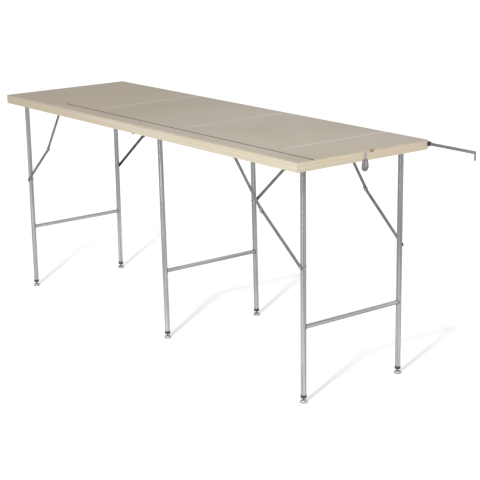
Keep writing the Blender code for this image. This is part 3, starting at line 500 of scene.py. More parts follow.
def planed_softwood(look, name, along):
    """Planed pine: pale and nearly matt, with soft growth lines 4 to 9 mm apart along the rail.

    Long yellow and rosy patches lie where the knife cut into other growth rings. The wood turns darker
    towards the left end: painted shade that stands in for the light falling off there.
    """
    made, tree, shader, place = material(name, Roughness=0.62, IOR=1.45)
    # Along the rail the patterns are drawn out about 22 times.
    stretch = Vector((1, 1, 1))
    stretch["XYZ".index(along)] = 0.045
    drawn_out = add(tree, "Mapping", {}, {"Vector": place, "Scale": stretch})
    fibres = {"Vector": drawn_out, "Scale": per(11), "Detail": 4, "Roughness": 0.55}
    streaks = add(tree, "TexNoise", {}, fibres)
    turn = {"wave_type": "RINGS", "rings_direction": along}
    growth = {"Vector": drawn_out, "Scale": wave_scale(8.727), "Distortion": 7.5}
    growth.update({"Detail": 2, "Detail Scale": 0.6})
    rings = add(tree, "TexWave", turn, growth).outputs["Fac"]
    late = {"Value": rings, "From Min": 0.35, "From Max": 1, "To Max": 0.5}
    lines = add(tree, "MapRange", SOFT_STEP, late)
    tone = add(tree, "Mix", COLOUR_MIX, {0: lines, 6: look.early[:], 7: look.late[:]})
    faint = {"Value": streaks, "From Min": 0.45, "From Max": 0.75, "To Max": 0.4}
    streaked = add(tree, "MapRange", {}, faint)
    tone = add(tree, "Mix", COLOUR_MIX, {0: streaked, 6: tone, 7: look.late[:]})
    for shift, shade, low, high in ((3, look.warm[:], 0.52, 0.7), (11, look.rosy[:], 0.46, 0.64)):
        moved = add(tree, "Mapping", {}, {"Vector": drawn_out, "Location": (shift, shift, shift)})
        patch = add(tree, "TexNoise", {}, {"Vector": moved, "Scale": per(40), "Detail": 2})
        spread = {"Value": patch, "From Min": low, "From Max": high, "To Max": 0.85}
        share = add(tree, "MapRange", SOFT_STEP, spread)
        tone = add(tree, "Mix", COLOUR_MIX, {0: share, 6: tone, 7: shade})
    # Painted shade of the light's falloff: the rails turn darker towards the left end.
    axes = add(tree, "SeparateXYZ", {}, {0: place})
    rail_unshaded_x = CORNER.x + RAIL_SHADE_NONE
    full = CORNER.x + RAIL_SHADE_FULL
    rail_falloff_span = {"Value": axes, "From Min": rail_unshaded_x, "From Max": full, "To Max": 0.5}
    shades = {0: add(tree, "MapRange", SOFT_STEP, rail_falloff_span), 6: tone, 7: look.rail_falloff_shade[:]}
    surface(tree, shader, shades, streaks, 0.25, 0.4)
    return made


def zinc_plated_tube(look, name, along):
    """Drawn steel tube with bright zinc plating: grey-blue and satin, with a 5 mm spangle.

    Its edge tint is low, so that the tube's sides read darker than its middle. Painted reflection
    bands, darker and lighter and 4 mm wide, run along it, and so do fine scratches, drawn 1 mm wide
    so that they show. Painted shade darkens it higher up towards the board, most at the hasp's end.
    """
    dark_sides = (0.06, 0.06, 0.07, 1)
    made, tree, shader, place = material(name, Metallic=0.5, Specular_Tint=dark_sides)
    spangle = add(tree, "TexVoronoi", {}, {"Vector": place, "Scale": per(5)})
    cell = add(tree, "SeparateColor", {}, {0: spangle.outputs["Color"]})
    share = add(tree, "MapRange", {}, {"Value": cell, "To Max": 0.28})
    tone = add(tree, "Mix", COLOUR_MIX, {0: share, 6: look.zinc[:], 7: linear("#92979A")})
    # Painted shade: darker higher up towards the board, and less so towards the left end.
    axes = add(tree, "SeparateXYZ", {}, {0: place})
    rise = {"Value": axes.outputs["Z"], "From Min": TUBE_SHADE_LOW, "From Max": TUBE_SHADE_HIGH}
    shade_under_board = add(tree, "MapRange", SOFT_STEP, rise)
    run = {"Value": axes, "From Min": CORNER.x, "From Max": CORNER.x + TUBE_SHADE_RUN, "To Min": 0.6}
    shade_along_table = add(tree, "MapRange", {}, run)
    tube_shade_share = add(tree, "Math", MULTIPLY, {0: shade_under_board, 1: shade_along_table})
    tone = add(tree, "Mix", COLOUR_MIX, {0: tube_shade_share, 6: tone, 7: look.tube_shade[:]})
    dull = add(tree, "TexNoise", {}, {"Vector": place, "Scale": per(140), "Detail": 4})
    dulling = {"Value": dull, "From Min": 0.45, "From Max": 0.75, "To Max": 0.3}
    dulled = add(tree, "MapRange", {}, dulling)
    tone = add(tree, "Mix", COLOUR_MIX, {0: dulled, 6: tone, 7: linear("#979A99")})
    # Painted reflection: darker and lighter bands, 4 mm wide, run along the tube and scale its colour.
    reflection_band_size = Vector((per(4), per(4), per(4)))
    reflection_band_size["XYZ".index(along)] = per(420)
    reflection_band_at = add(tree, "Mapping", {}, {"Vector": place, "Scale": reflection_band_size})
    reflection_band = add(tree, "TexNoise", {}, {"Vector": reflection_band_at, "Scale": 1, "Detail": 1})
    drawn = {"Value": reflection_band, "From Min": 0.36, "From Max": 0.64, "To Min": 0.74, "To Max": 1.22}
    streaked = add(tree, "MapRange", {}, drawn)
    shading = {"data_type": "RGBA", "blend_type": "MULTIPLY"}
    add(tree, "Mix", shading, {0: 1.0, 6: tone, 7: streaked}, shader.inputs["Base Color"])
    gloss = {"Value": dull, "To Min": 0.16, "To Max": 0.3}
    add(tree, "MapRange", {}, gloss, shader.inputs["Roughness"])
    fine = Vector((per(1), per(1), per(1)))
    fine["XYZ".index(along)] = per(120)
    fine_at = add(tree, "Mapping", {}, {"Vector": place, "Scale": fine})
    scratches = add(tree, "TexNoise", {}, {"Vector": fine_at, "Scale": 1, "Detail": 2})
    bump = {"Height": scratches, "Strength": 0.05, "Distance": 0.2 * MM}
    add(tree, "Bump", {}, bump, shader.inputs["Normal"])
    return made


def rolled_steel(name, shade, dark, roughness, grain, cloud=25):
    """Rolled or plated steel: satin, with small clouds in colour and gloss over a fine grain.

    The cloud size is in millimetres, and so is the grain's size along X, Y and Z.
    """
    tint = (0.25, 0.25, 0.25, 1)
    made, tree, shader, place = material(name, Metallic=0.6, Specular_Tint=tint)
    clouds = add(tree, "TexNoise", {}, {"Vector": place, "Scale": per(cloud), "Detail": 5})
    clouding = {"Value": clouds, "From Min": 0.4, "From Max": 0.7, "To Max": 0.7}
    gloss = {"Value": clouds, "To Min": roughness - 0.1, "To Max": roughness + 0.12}
    add(tree, "MapRange", {}, gloss, shader.inputs["Roughness"])
    scale = tuple(per(size) for size in grain)
    fine_at = add(tree, "Mapping", {}, {"Vector": place, "Scale": scale})
    fine = add(tree, "TexNoise", {}, {"Vector": fine_at, "Scale": 1, "Detail": 3})
    shades = {0: add(tree, "MapRange", {}, clouding), 6: shade[:], 7: linear(dark)}
    surface(tree, shader, shades, fine, 0.15, 0.2)
    return made, tree, shader, place


def pressed_hasp_steel(look):
    """Pressed steel with a thin plating: painted highlights on the neck and the raised middle, the rim
    darker.
    """
    made, tree, shader, place = rolled_steel("pressed_hasp_steel", look.hasp, "#77767C", 0.34, EVEN, 9)
    screw = at(TABLE_LENGTH, TABLE_WIDTH / 2, BOARD_TOP - HASP_DROP)
    from_screw = add(tree, "VectorMath", SUBTRACT, {0: place, 1: screw})
    axes = add(tree, "SeparateXYZ", {}, {0: from_screw})
    height = axes.outputs["Z"]
    neck_highlight_span = {"Value": height, "From Min": NECK_HIGHLIGHT_FADED, "From Max": NECK_HIGHLIGHT_FULL, "To Max": 0.9}
    neck = add(tree, "MapRange", SOFT_STEP, neck_highlight_span)
    from_highlight_crown = add(tree, "VectorMath", SUBTRACT, {0: from_screw, 1: HIGHLIGHT_CROWN})
    squeezed = add(tree, "VectorMath", MULTIPLY, {0: from_highlight_crown, 1: (0, 1, 0.6)})
    away = add(tree, "VectorMath", LENGTH, {0: squeezed})
    crown_highlight_span = {"Value": away, "From Min": CROWN_HIGHLIGHT_FULL, "From Max": CROWN_HIGHLIGHT_FADED, "To Min": 0.6, "To Max": 0}
    bright = add(tree, "Math", MAXIMUM, {0: neck, 1: add(tree, "MapRange", SOFT_STEP, crown_highlight_span)})
    base = shader.inputs["Base Color"]
    shades = {0: bright, 6: base.links[0].from_socket, 7: look.hasp_highlight[:]}
    add(tree, "Mix", COLOUR_MIX, shades, base)
    return made


def moulded_plastic(name, shade, light):
    """Injection-moulded polypropylene: black or worn grey and dull, with a spark-eroded 0.7 mm grain."""
    made, tree, shader, place = material(name, Roughness=0.5, IOR=1.49)
    grain = add(tree, "TexNoise", {}, {"Vector": place, "Scale": per(0.7), "Detail": 2})
    shades = {0: grain, 6: shade[:], 7: linear(light)}
    surface(tree, shader, shades, grain, 0.2, 0.2)
    return made


def seen_directly(tree):
    """1 for what the camera sees straight, in a mirror or through glass, and otherwise 0."""
    path = add(tree, "LightPath")
    rays = {0: path.outputs["Is Camera Ray"], 1: path.outputs["Is Glossy Ray"]}
    seen = add(tree, "Math", MAXIMUM, rays)
    rays = {0: seen, 1: path.outputs["Is Transmission Ray"]}
    return add(tree, "Math", MAXIMUM, rays)


def white_floor(look):
    """Matt white floor. The camera sees it whiter than it is lit, the more so the further away."""
    made = bpy.data.materials.new("matt_white_floor")
    made.use_nodes = True
    tree = made.node_tree
    tree.nodes.clear()
    matt = add(tree, "BsdfDiffuse", {}, {"Color": look.floor[:]})
    place = add(tree, "TexCoord").outputs["Object"]
    away = add(tree, "VectorMath", LENGTH, {0: place})
    distances = {"Value": away, "From Min": LIFT_START, "From Max": LIFT_END}
    lifts = {"To Min": look.near_lift, "To Max": look.far_lift}
    lift = add(tree, "MapRange", SOFT_STEP, {**distances, **lifts})
    seen_lift = add(tree, "Math", MULTIPLY, {0: seen_directly(tree), 1: lift})
    glow = add(tree, "Emission", {}, {"Color": (1, 1, 1, 1), "Strength": seen_lift})
    both = add(tree, "AddShader", {}, {0: matt, 1: glow})
    add(tree, "OutputMaterial", {}, {"Surface": both})
    return made


MATERIALS = {}


def finish_of(name):
    """The material of this name, made on first use."""
    scene = bpy.context.scene
    board = scene.table_board
    timber = scene.table_timber
    metal = scene.table_metal
    plastic = scene.table_plastic
    makers = {
        "coat": lambda: lacquered_hardboard(board),
        "groove": lambda: routed_groove(board),
        "edge": lambda: sawn_board_edge(board),
        "back": lambda: meshed_hardboard_back(board),
        "long_rail": lambda: planed_softwood(timber, "planed_pine_long_rail", "X"),
        "cross_rail": lambda: planed_softwood(timber, "planed_pine_cross_rail", "Y"),
        "tube": lambda: zinc_plated_tube(metal, "zinc_plated_tube", "Z"),
        "bar": lambda: zinc_plated_tube(metal, "zinc_plated_crossbar", "Y"),
        "weld": lambda: rolled_steel("weld_bead", metal.weld, "#5F5A52", 0.5, EVEN, 3)[0],
        "brace": lambda: rolled_steel("rolled_brace_strip", metal.brace, "#73716F", 0.42, ALONG_X)[0],
        "dark_brace": lambda: rolled_steel("dark_brace_strip", metal.dark_brace, "#474645", 0.4, ALONG_X)[0],
        "bright": lambda: rolled_steel("bright_plated_steel", metal.bright, "#979896", 0.34, EVEN)[0],
        "hasp": lambda: pressed_hasp_steel(metal),
        "arm": lambda: rolled_steel("rolled_arm_strip", metal.arm, "#757475", 0.38, ALONG_X)[0],
        "catch": lambda: rolled_steel("browned_catch_steel", metal.catch, "#85785F", 0.5, EVEN)[0],
        "foot": lambda: rolled_steel("turned_zinc_foot", metal.foot, "#A2A29F", 0.42, TURNED)[0],
        "plastic": lambda: moulded_plastic("moulded_black_plastic", plastic.black, "#2B2B2D"),
        "collar": lambda: moulded_plastic("moulded_collar_plastic", plastic.worn, "#4A4A4C"),
    }
    if name not in MATERIALS:
        MATERIALS[name] = makers[name]()
    return MATERIALS[name]


def dress(node, finish):
    """Gives a CAD node a material in every one of its slots."""
    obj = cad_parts[node]
    if not obj.material_slots:
        obj.data.materials.append(None)
    for material_slot in obj.material_slots:
        material_slot.material = finish_of(finish)


def merged_copy(node):
    """A CAD node's shape as a bmesh with welded corners and whole flat faces."""
    shape = bmesh.new()
    shape.from_mesh(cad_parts[node].data)
    bmesh.ops.remove_doubles(shape, verts=shape.verts, dist=MERGE_DISTANCE)
    bmesh.ops.dissolve_limit(
        shape,
        angle_limit=math.radians(0.5),
        verts=shape.verts,
        edges=shape.edges,
        use_dissolve_boundaries=False,
    )
    return shape


def round_edges(shape, edges, width, segments=2):
    """Rounds these edges of a shape."""
    bmesh.ops.bevel(
        shape,
        geom=edges,
        offset=width,
        offset_type="OFFSET",
        segments=segments,
        profile=0.5,
        affect="EDGES",
        clamp_overlap=True,
        material=-1,
    )


def sharp_edges(shape, above):
    """The edges between faces that meet at more than this angle, in degrees."""
    shape.normal_update()
    limit = math.radians(above)
    return [edge for edge in shape.edges if edge.is_manifold and edge.calc_face_angle() > limit]


def spin_round(shape, axis, steps):
    """Turns a line or a ring once round an axis through the origin."""
    bmesh.ops.spin(
        shape,
        geom=list(shape.verts) + list(shape.edges),
        cent=(0, 0, 0),
        axis=axis,
        dvec=(0, 0, 0),
        angle=math.tau,
        steps=steps,
        use_merge=True,
        use_duplicate=False,
    )


def thicken(shape, depth):
    """Thickens a flat shape by a vector and turns its faces outwards."""
    made = bmesh.ops.extrude_face_region(shape, geom=list(shape.faces))["geom"]
    moved = [item for item in made if isinstance(item, bmesh.types.BMVert)]
    bmesh.ops.translate(shape, vec=depth, verts=moved)
    bmesh.ops.recalc_face_normals(shape, faces=shape.faces)


def close_ends(shape):
    """Fills the open ends of a shape and turns its faces outwards."""
    open_edges = [edge for edge in shape.edges if edge.is_boundary]
    bmesh.ops.holes_fill(shape, edges=open_edges, sides=0)
    bmesh.ops.recalc_face_normals(shape, faces=shape.faces)


def turned(profile, steps=32, place=None):
    """A profile of (radius, height) points turned about Z, welded, facing outwards, then moved."""
    shape = bmesh.new()
    points = [shape.verts.new((radius, 0, height)) for radius, height in profile]
    for pair in zip(points, points[1:]):
        shape.edges.new(pair)
    spin_round(shape, (0, 0, 1), steps)
    bmesh.ops.remove_doubles(shape, verts=shape.verts, dist=MERGE_DISTANCE)
    bmesh.ops.recalc_face_normals(shape, faces=shape.faces)
    if place:
        bmesh.ops.transform(shape, matrix=place, verts=shape.verts)
    return shape


def pressed(outline, depth):
    """A flat outline of places thickened by a vector."""
    shape = bmesh.new()
    shape.faces.new([shape.verts.new(place) for place in outline])
    thicken(shape, depth)
    return shape


def mesh_of(name, shape):
    """A mesh of a shape, which is freed."""
    mesh = bpy.data.meshes.new(name)
    shape.to_mesh(mesh)
    shape.free()
    return mesh


def object_of(name, data):
    """A named object of a mesh, a lamp or a camera, linked to the scene."""
    obj = bpy.data.objects.new(name, data)
    bpy.context.scene.collection.objects.link(obj)
    return obj


def join(shape, part, slot_index=0):
    """Adds a part's faces to a shape, all in one material slot, and frees the part."""
    for face in part.faces:
        face.material_index = slot_index
    mesh = mesh_of("joined", part)
    shape.from_mesh(mesh)
    bpy.data.meshes.remove(mesh)


def add_piece(name, shape, body, finishes, nodes=(), smooth_under=35):
    """Makes a finished piece of a bmesh: materials, smoothing, body and replaced nodes."""
    mesh = mesh_of(name, shape)
    for finish in finishes:
        mesh.materials.append(finish_of(finish))
    mesh.shade_smooth()
    mesh.set_sharp_from_angle(angle=math.radians(smooth_under))
    obj = object_of(name, mesh)
    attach(obj, body)
    if nodes:
        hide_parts(*nodes)
    return obj


def light_group(obj, name):
    """Puts an object in the named group that a lamp reaches, passes by or is shaded by."""
    group = bpy.data.collections.get(name) or bpy.data.collections.new(name)
    group.objects.link(obj)
    return group


def arc(centre, radius, start, end, steps):
    """Points on an arc, angles in degrees, both ends included."""
    points = []
    for i in range(steps + 1):
        angle = math.radians(start + (end - start) * i / steps)
        points.append((centre[0] + radius * math.cos(angle), centre[1] + radius * math.sin(angle)))
    return points


def dome(radius, height, steps=9):
    """The profile of a low domed head from its crown down to its rim, a quarter of it straight."""
    points = [(0, height)]
    for i in range(1, steps + 1):
        angle = math.pi / 2 * i / steps
        points.append((radius * math.sin(angle), height * (0.25 + 0.75 * math.cos(angle))))
    return points + [(radius, 0)]


def facing(place, direction):
    """A matrix that turns +Z to a direction and moves the origin to a place."""
    turn = Vector((0, 0, 1)).rotation_difference(Vector(direction)).to_matrix().to_4x4()
    return Matrix.Translation(place) @ turn


def leg_length(spec):
    """From a frame's axis to its feet's underside, with the lowest edge on the floor."""
    lowest = FOOT_BASE_RADIUS * math.sin(spec["lean"])
    return (spec["z"] - lowest) / math.cos(spec["lean"])


def frame_place(spec):
    """Moves a leg frame built with its axis at the origin and its legs down to its place."""
    centre = at(spec["x"], TABLE_WIDTH / 2 + spec["shift"], spec["z"])
    return Matrix.Translation(centre) @ Matrix.Rotation(-spec["folds"] * spec["lean"], 4, "Y")


def half_width():
    """From the middle of a leg frame to the axis of either leg."""
    return TABLE_WIDTH / 2 - SIDE_INSET


def leg_ends():
    """Each leg's body, its label, and the place of its end, on the floor with +Z up the leg."""
    for name, spec in FRAMES.items():
        for side_name, side in SIDES.items():
            base = Matrix.Translation((0, side * half_width(), -leg_length(spec)))
            yield name + "_leg", name + "_" + side_name, frame_place(spec) @ base


def heads(places, direction, size, steps):
    """Domed heads at these places, all facing one way. Their size is a radius and a height."""
    shape = bmesh.new()
    for place in places:
        join(shape, turned(dome(*size, steps), 4 * steps, facing(place, direction)))
    return shape


def extrude_ring(shape, edges, move):
    """Extrudes a ring of edges by a vector and returns the new ring."""
    made = bmesh.ops.extrude_edge_only(shape, edges=edges)["geom"]
    verts = [item for item in made if isinstance(item, bmesh.types.BMVert)]
    ring = [item for item in made if isinstance(item, bmesh.types.BMEdge)]
    bmesh.ops.translate(shape, vec=move, verts=verts)
    return [edge for edge in ring if edge.is_boundary]


def spin_ring(shape, edges, centre, axis, angle, steps):
    """Spins a ring of edges about an axis and returns the last ring."""
    verts = list({vert for edge in edges for vert in edge.verts})
    last = bmesh.ops.spin(
        shape,
        geom=verts + list(edges),
        cent=centre,
        axis=axis,
        dvec=(0, 0, 0),
        angle=angle,
        steps=steps,
        use_merge=False,
        use_duplicate=False,
    )["geom_last"]
    return [item for item in last if isinstance(item, bmesh.types.BMEdge)]


def bent_tube(bottom):
    """An inverted U of tube, from the front leg's end up, over and down the back leg."""
    half = half_width()
    shape = bmesh.new()
    bmesh.ops.create_circle(shape, cap_ends=False, segments=32, radius=TUBE_RADIUS)
    bmesh.ops.translate(shape, vec=(0, -half, bottom), verts=shape.verts)
    ring = extrude_ring(shape, list(shape.edges), (0, 0, -BEND_RADIUS - bottom))
    ring = spin_ring(shape, ring, (0, BEND_RADIUS - half, -BEND_RADIUS), (1, 0, 0), -math.pi / 2, 14)
    ring = extrude_ring(shape, ring, (0, 2 * (half - BEND_RADIUS), 0))
    ring = spin_ring(shape, ring, (0, half - BEND_RADIUS, -BEND_RADIUS), (1, 0, 0), -math.pi / 2, 14)
    extrude_ring(shape, ring, (0, 0, bottom + BEND_RADIUS))
    bmesh.ops.remove_doubles(shape, verts=shape.verts, dist=MERGE_DISTANCE)
    close_ends(shape)
    return shape


def crossbar(height):
    """The round bar between the legs, whose ends run into their walls."""
    shape = bmesh.new()
    bmesh.ops.create_cone(
        shape,
        cap_ends=True,
        segments=28,
        radius1=CROSSBAR_RADIUS,
        radius2=CROSSBAR_RADIUS,
        depth=2 * (half_width() - TUBE_RADIUS / 3),
    )
    lie_down = Matrix.Rotation(math.pi / 2, 3, "X")
    bmesh.ops.rotate(shape, cent=(0, 0, 0), matrix=lie_down, verts=shape.verts)
    bmesh.ops.translate(shape, vec=(0, 0, height), verts=shape.verts)
    return shape


def weld_bead(side, height):
    """A lumpy bead round the crossbar's end, which follows the leg's round wall."""
    shape = bmesh.new()
    bmesh.ops.create_circle(shape, cap_ends=False, segments=14, radius=WELD_RADIUS)
    stand_up = Matrix.Rotation(math.pi / 2, 3, "Z")
    bmesh.ops.rotate(shape, cent=(0, 0, 0), matrix=stand_up, verts=shape.verts)
    bmesh.ops.translate(shape, vec=(CROSSBAR_RADIUS + WELD_STANDOFF, 0, 0), verts=shape.verts)
    spin_round(shape, (0, 1, 0), 48)
    for vert in shape.verts:
        around = math.atan2(vert.co.z, vert.co.x)
        ripple = 1 + 0.045 * math.sin(11 * around) + 0.02 * math.sin(17 * around + 1)
        vert.co.x *= ripple
        vert.co.z *= ripple
        wall = math.sqrt(max(TUBE_RADIUS**2 - min(abs(vert.co.x), TUBE_RADIUS) ** 2, 0))
        vert.co.y += -side * (wall + WELD_STANDOFF)
    bmesh.ops.recalc_face_normals(shape, faces=shape.faces)
    bmesh.ops.translate(shape, vec=(0, side * half_width(), height), verts=shape.verts)
    return shape


def circles_meet(first, first_radius, second, second_radius):
    """The lower of the two points where circles in the XZ plane meet."""
    reach = second - first
    distance = reach.length
    along = (distance**2 + first_radius**2 - second_radius**2) / (2 * distance)
    rise = math.sqrt(max(first_radius**2 - along**2, 0))
    foot = first + reach * (along / distance)
    across = Vector((-reach.y, reach.x)) / distance
    return min(foot + across * rise, foot - across * rise, key=lambda point: point.y)


def brace_points(spec):
    """Leg pivot, knee and rail pivot of a brace, as (x, z) from the board's corner."""
    axis = Vector((spec["x"], spec["z"]))
    reach = (spec["z"] - LEG_PIVOT_HEIGHT) / math.cos(spec["lean"])
    leg_pivot = axis + Vector((spec["folds"] * math.sin(spec["lean"]), -math.cos(spec["lean"]))) * reach
    along = reach * math.cos(math.radians(spec["drop"])) - FOLDED_STEP
    rail_pivot = Vector((spec["x"] + spec["folds"] * along, BOARD_TOP - spec["depth"]))
    total = (rail_pivot - leg_pivot).length + KNEE_SLACK
    knee = circles_meet(leg_pivot, (total + FOLDED_STEP) / 2, rail_pivot, (total - FOLDED_STEP) / 2)
    return leg_pivot, knee, rail_pivot


def brace_insets(name, side_name):
    """How far in from the board's side face the lower link, knee, upper link and its top lie."""
    lower = SIDE_INSET - SIDES[side_name] * FRAMES[name]["shift"] - TUBE_RADIUS - SEAT_GAP
    lower -= LINK_THICKNESS / 2
    knee = min(KNEE_INSET, lower - RIVET_HEIGHT)
    upper = knee - LINK_THICKNESS - SEAT_GAP
    top = RAIL_THICKNESS + SEAT_GAP + LINK_THICKNESS / 2
    if (name, side_name) == ("right", "back"):
        top = upper
    return lower, knee, upper, top


def flat_bar(stations):
    """A flat bar with round ends and a softly bent middle line.

    stations are (distance along, offset in Y) pairs. The bar lies along X and its width along Z.
    """
    radius = LINK_WIDTH / 2
    start = stations[0][0] + radius
    end = stations[-1][0] - radius
    shape = bmesh.new()
    stand_up = Matrix.Rotation(math.pi / 2, 4, "X")
    bmesh.ops.create_circle(shape, cap_ends=True, segments=32, radius=radius, matrix=stand_up)
    for vert in shape.verts:
        vert.co.x += end if vert.co.x > MERGE_DISTANCE else start
    for bend, _ in stations[1:-1]:
        for step in BEND_STEPS:
            bmesh.ops.bisect_plane(
                shape,
                geom=list(shape.verts) + list(shape.edges) + list(shape.faces),
                dist=CUT_DISTANCE,
                plane_co=(bend + step, 0, 0),
                plane_no=(1, 0, 0),
            )
    thicken(shape, (0, LINK_THICKNESS, 0))
    bmesh.ops.translate(shape, vec=(0, -LINK_THICKNESS / 2, 0), verts=shape.verts)
    round_edges(shape, sharp_edges(shape, 50), LINK_ROUNDING)
    for vert in shape.verts:
        vert.co.y += soft_offset(stations, vert.co.x)
    return shape


def offset_at(stations, run):
    """The offset of a bent line at a distance along it."""
    if run <= stations[0][0]:
        return stations[0][1]
    for (near, low), (far, high) in zip(stations, stations[1:]):
        if run <= far:
            return low + (high - low) * (run - near) / (far - near)
    return stations[-1][1]


def soft_offset(stations, run):
    """The bent line with its corners rounded over about 10 mm."""
    return sum(offset_at(stations, run + step) for step in BEND_STEPS) / len(BEND_STEPS)


def knee_end(shape, reach, offset, way):
    """Adds a link's round eye at its knee, and the domed rivet that stands out of it one way."""
    eye = bmesh.new()
    bmesh.ops.create_cone(
        eye,
        cap_ends=True,
        segments=40,
        radius1=KNEE_EYE_RADIUS,
        radius2=KNEE_EYE_RADIUS,
        depth=LINK_THICKNESS - 2 * KNEE_EYE_STEP,
    )
    round_edges(eye, sharp_edges(eye, 60), KNEE_EYE_ROUNDING)
    bmesh.ops.transform(eye, matrix=facing((reach, offset, 0), (0, 1, 0)), verts=eye.verts)
    join(shape, eye)
    head = facing((reach, offset + way * (LINK_THICKNESS / 2 - HEAD_SINK), 0), (0, way, 0))
    join(shape, turned(dome(RIVET_RADIUS, RIVET_HEIGHT), 28, head), 1)


class PASTING_TABLE_OT_boards(bpy.types.Operator):
    """Dress the two halves of the board: lacquered top, bare groove, sawn edges and meshed back"""

    bl_idname = "pasting_table.boards"
    bl_label = "Boards"

    FINISHES = ("coat", "groove", "edge", "back")

    def execute(self, context):
        look = context.scene.table_board
        for half in ("left", "right"):
            node = half + "_board"
            shape = merged_copy(node)
            tops = [
                edge
                for edge in sharp_edges(shape, 30)
                if min(vert.co.z for vert in edge.verts) > BOARD_TOP - 0.01 * MM
            ]
            round_edges(shape, tops, look.edge_softness)
            for face in shape.faces:
                face.material_index = self.FINISHES.index(self.finish(face, look.edge_softness))
            piece = half + "_work_board"
            add_piece(piece, shape, half + "_half", self.FINISHES, [node], 15)
        return {"FINISHED"}

    def finish(self, face, softness):
        """The finish of a face of the board, by how deep it lies and which way it looks."""
        middle = face.calc_center_median()
        depth = BOARD_TOP - middle.z
        off_groove = abs(middle.y - CORNER.y - GROOVE_INSET)
        if off_groove < GROOVE_WIDTH / 2 + 0.2 * MM and 0.1 * MM < depth < GROOVE_DEPTH + MM:
            return "groove"
        if depth < softness + 0.2 * MM:
            return "coat"
        return "back" if face.normal.z < -0.7 else "edge"


class PASTING_TABLE_OT_rails(bpy.types.Operator):
    """Give the rails and the brace block planed softwood whose grain runs along each piece"""

    bl_idname = "pasting_table.rails"
    bl_label = "Rails"

    def execute(self, context):
        for half in ("left", "right"):
            for side in ("front", "back"):
                dress(half + "_" + side + "_rail", "long_rail")
            for kind in ("end", "centre"):
                dress(half + "_" + kind + "_rail", "cross_rail")
        dress("brace_block", "long_rail")
        return {"FINISHED"}


class PASTING_TABLE_OT_leg_frames(bpy.types.Operator):
    """Bend the three tube frames, with their crossbars, weld beads and the spare rivet"""

    bl_idname = "pasting_table.leg_frames"
    bl_label = "Leg frames"

    def execute(self, context):
        for name, spec in FRAMES.items():
            body = name + "_leg"
            node = name + "_leg_frame"
            legs = leg_length(spec)
            bar_z = CROSSBAR_HEIGHT - legs
            shape = bmesh.new()
            join(shape, bent_tube(TUBE_END - legs))
            bmesh.ops.transform(shape, matrix=frame_place(spec), verts=shape.verts)
            if name == "middle":
                leg_pivot = brace_points(spec)[0]
                wall = SIDE_INSET + spec["shift"] - TUBE_RADIUS + RIVET_SINK
                place = facing(at(leg_pivot.x, wall, leg_pivot.y), (0, -1, 0))
                join(shape, turned(dome(RIVET_RADIUS, RIVET_HEIGHT + RIVET_SINK), 28, place), 1)
            tube = add_piece(name + "_bent_tube", shape, body, ("tube", "bright"), [node])
            light_group(tube, "leg_shadows")
            light_group(tube, "lit_tubes")
            shape = bmesh.new()
            join(shape, crossbar(bar_z))
            for side in SIDES.values():
                join(shape, weld_bead(side, bar_z), 1)
            bmesh.ops.transform(shape, matrix=frame_place(spec), verts=shape.verts)
            add_piece(name + "_welded_crossbar", shape, body, ("bar", "weld"), [node])
        return {"FINISHED"}


class PASTING_TABLE_OT_collars(bpy.types.Operator):
    """Mould the six worn black collars, each with rounded rims and a shallow groove"""

    bl_idname = "pasting_table.collars"
    bl_label = "Collars"

    def execute(self, context):
        for leg, label, place in leg_ends():
            shape = turned(self.section(), 40, place)
            piece = label + "_moulded_collar"
            collar = add_piece(piece, shape, leg, ("collar",), [label + "_collar"])
            light_group(collar, "leg_shadows")
        return {"FINISHED"}

    def section(self):
        """From inside the tube's socket over the grooved wall and the rounded rim to the stem's bore."""
        inside = TUBE_RADIUS + SEAT_GAP
        seat = TUBE_END - SEAT_GAP
        rim = COLLAR_RADIUS
        groove = rim - 0.25 * MM
        bore = STEM_BORE_RADIUS
        top = COLLAR_TOP
        bottom = COLLAR_BOTTOM
        middle = (bottom + top) / 2
        points = [(inside, top - 2.5 * MM), (inside, top - 0.3 * MM), (rim - 0.5 * MM, top)]
        points += [(rim - 0.2 * MM, top - 0.2 * MM), (rim, top - 0.7 * MM), (rim, middle + 0.7 * MM)]
        points += [(groove, middle + 0.3 * MM), (groove, middle - 0.3 * MM), (rim, middle - 0.7 * MM)]
        points += [(rim, bottom + 1.6 * MM), (rim - 0.3 * MM, bottom + 0.7 * MM)]
        points += [(rim - 0.8 * MM, bottom + 0.2 * MM), (rim - 1.5 * MM, bottom)]
        points += [(bore + 0.6 * MM, bottom), (bore, bottom + 0.3 * MM), (bore, seat)]
        return points + [(inside, seat), points[0]]


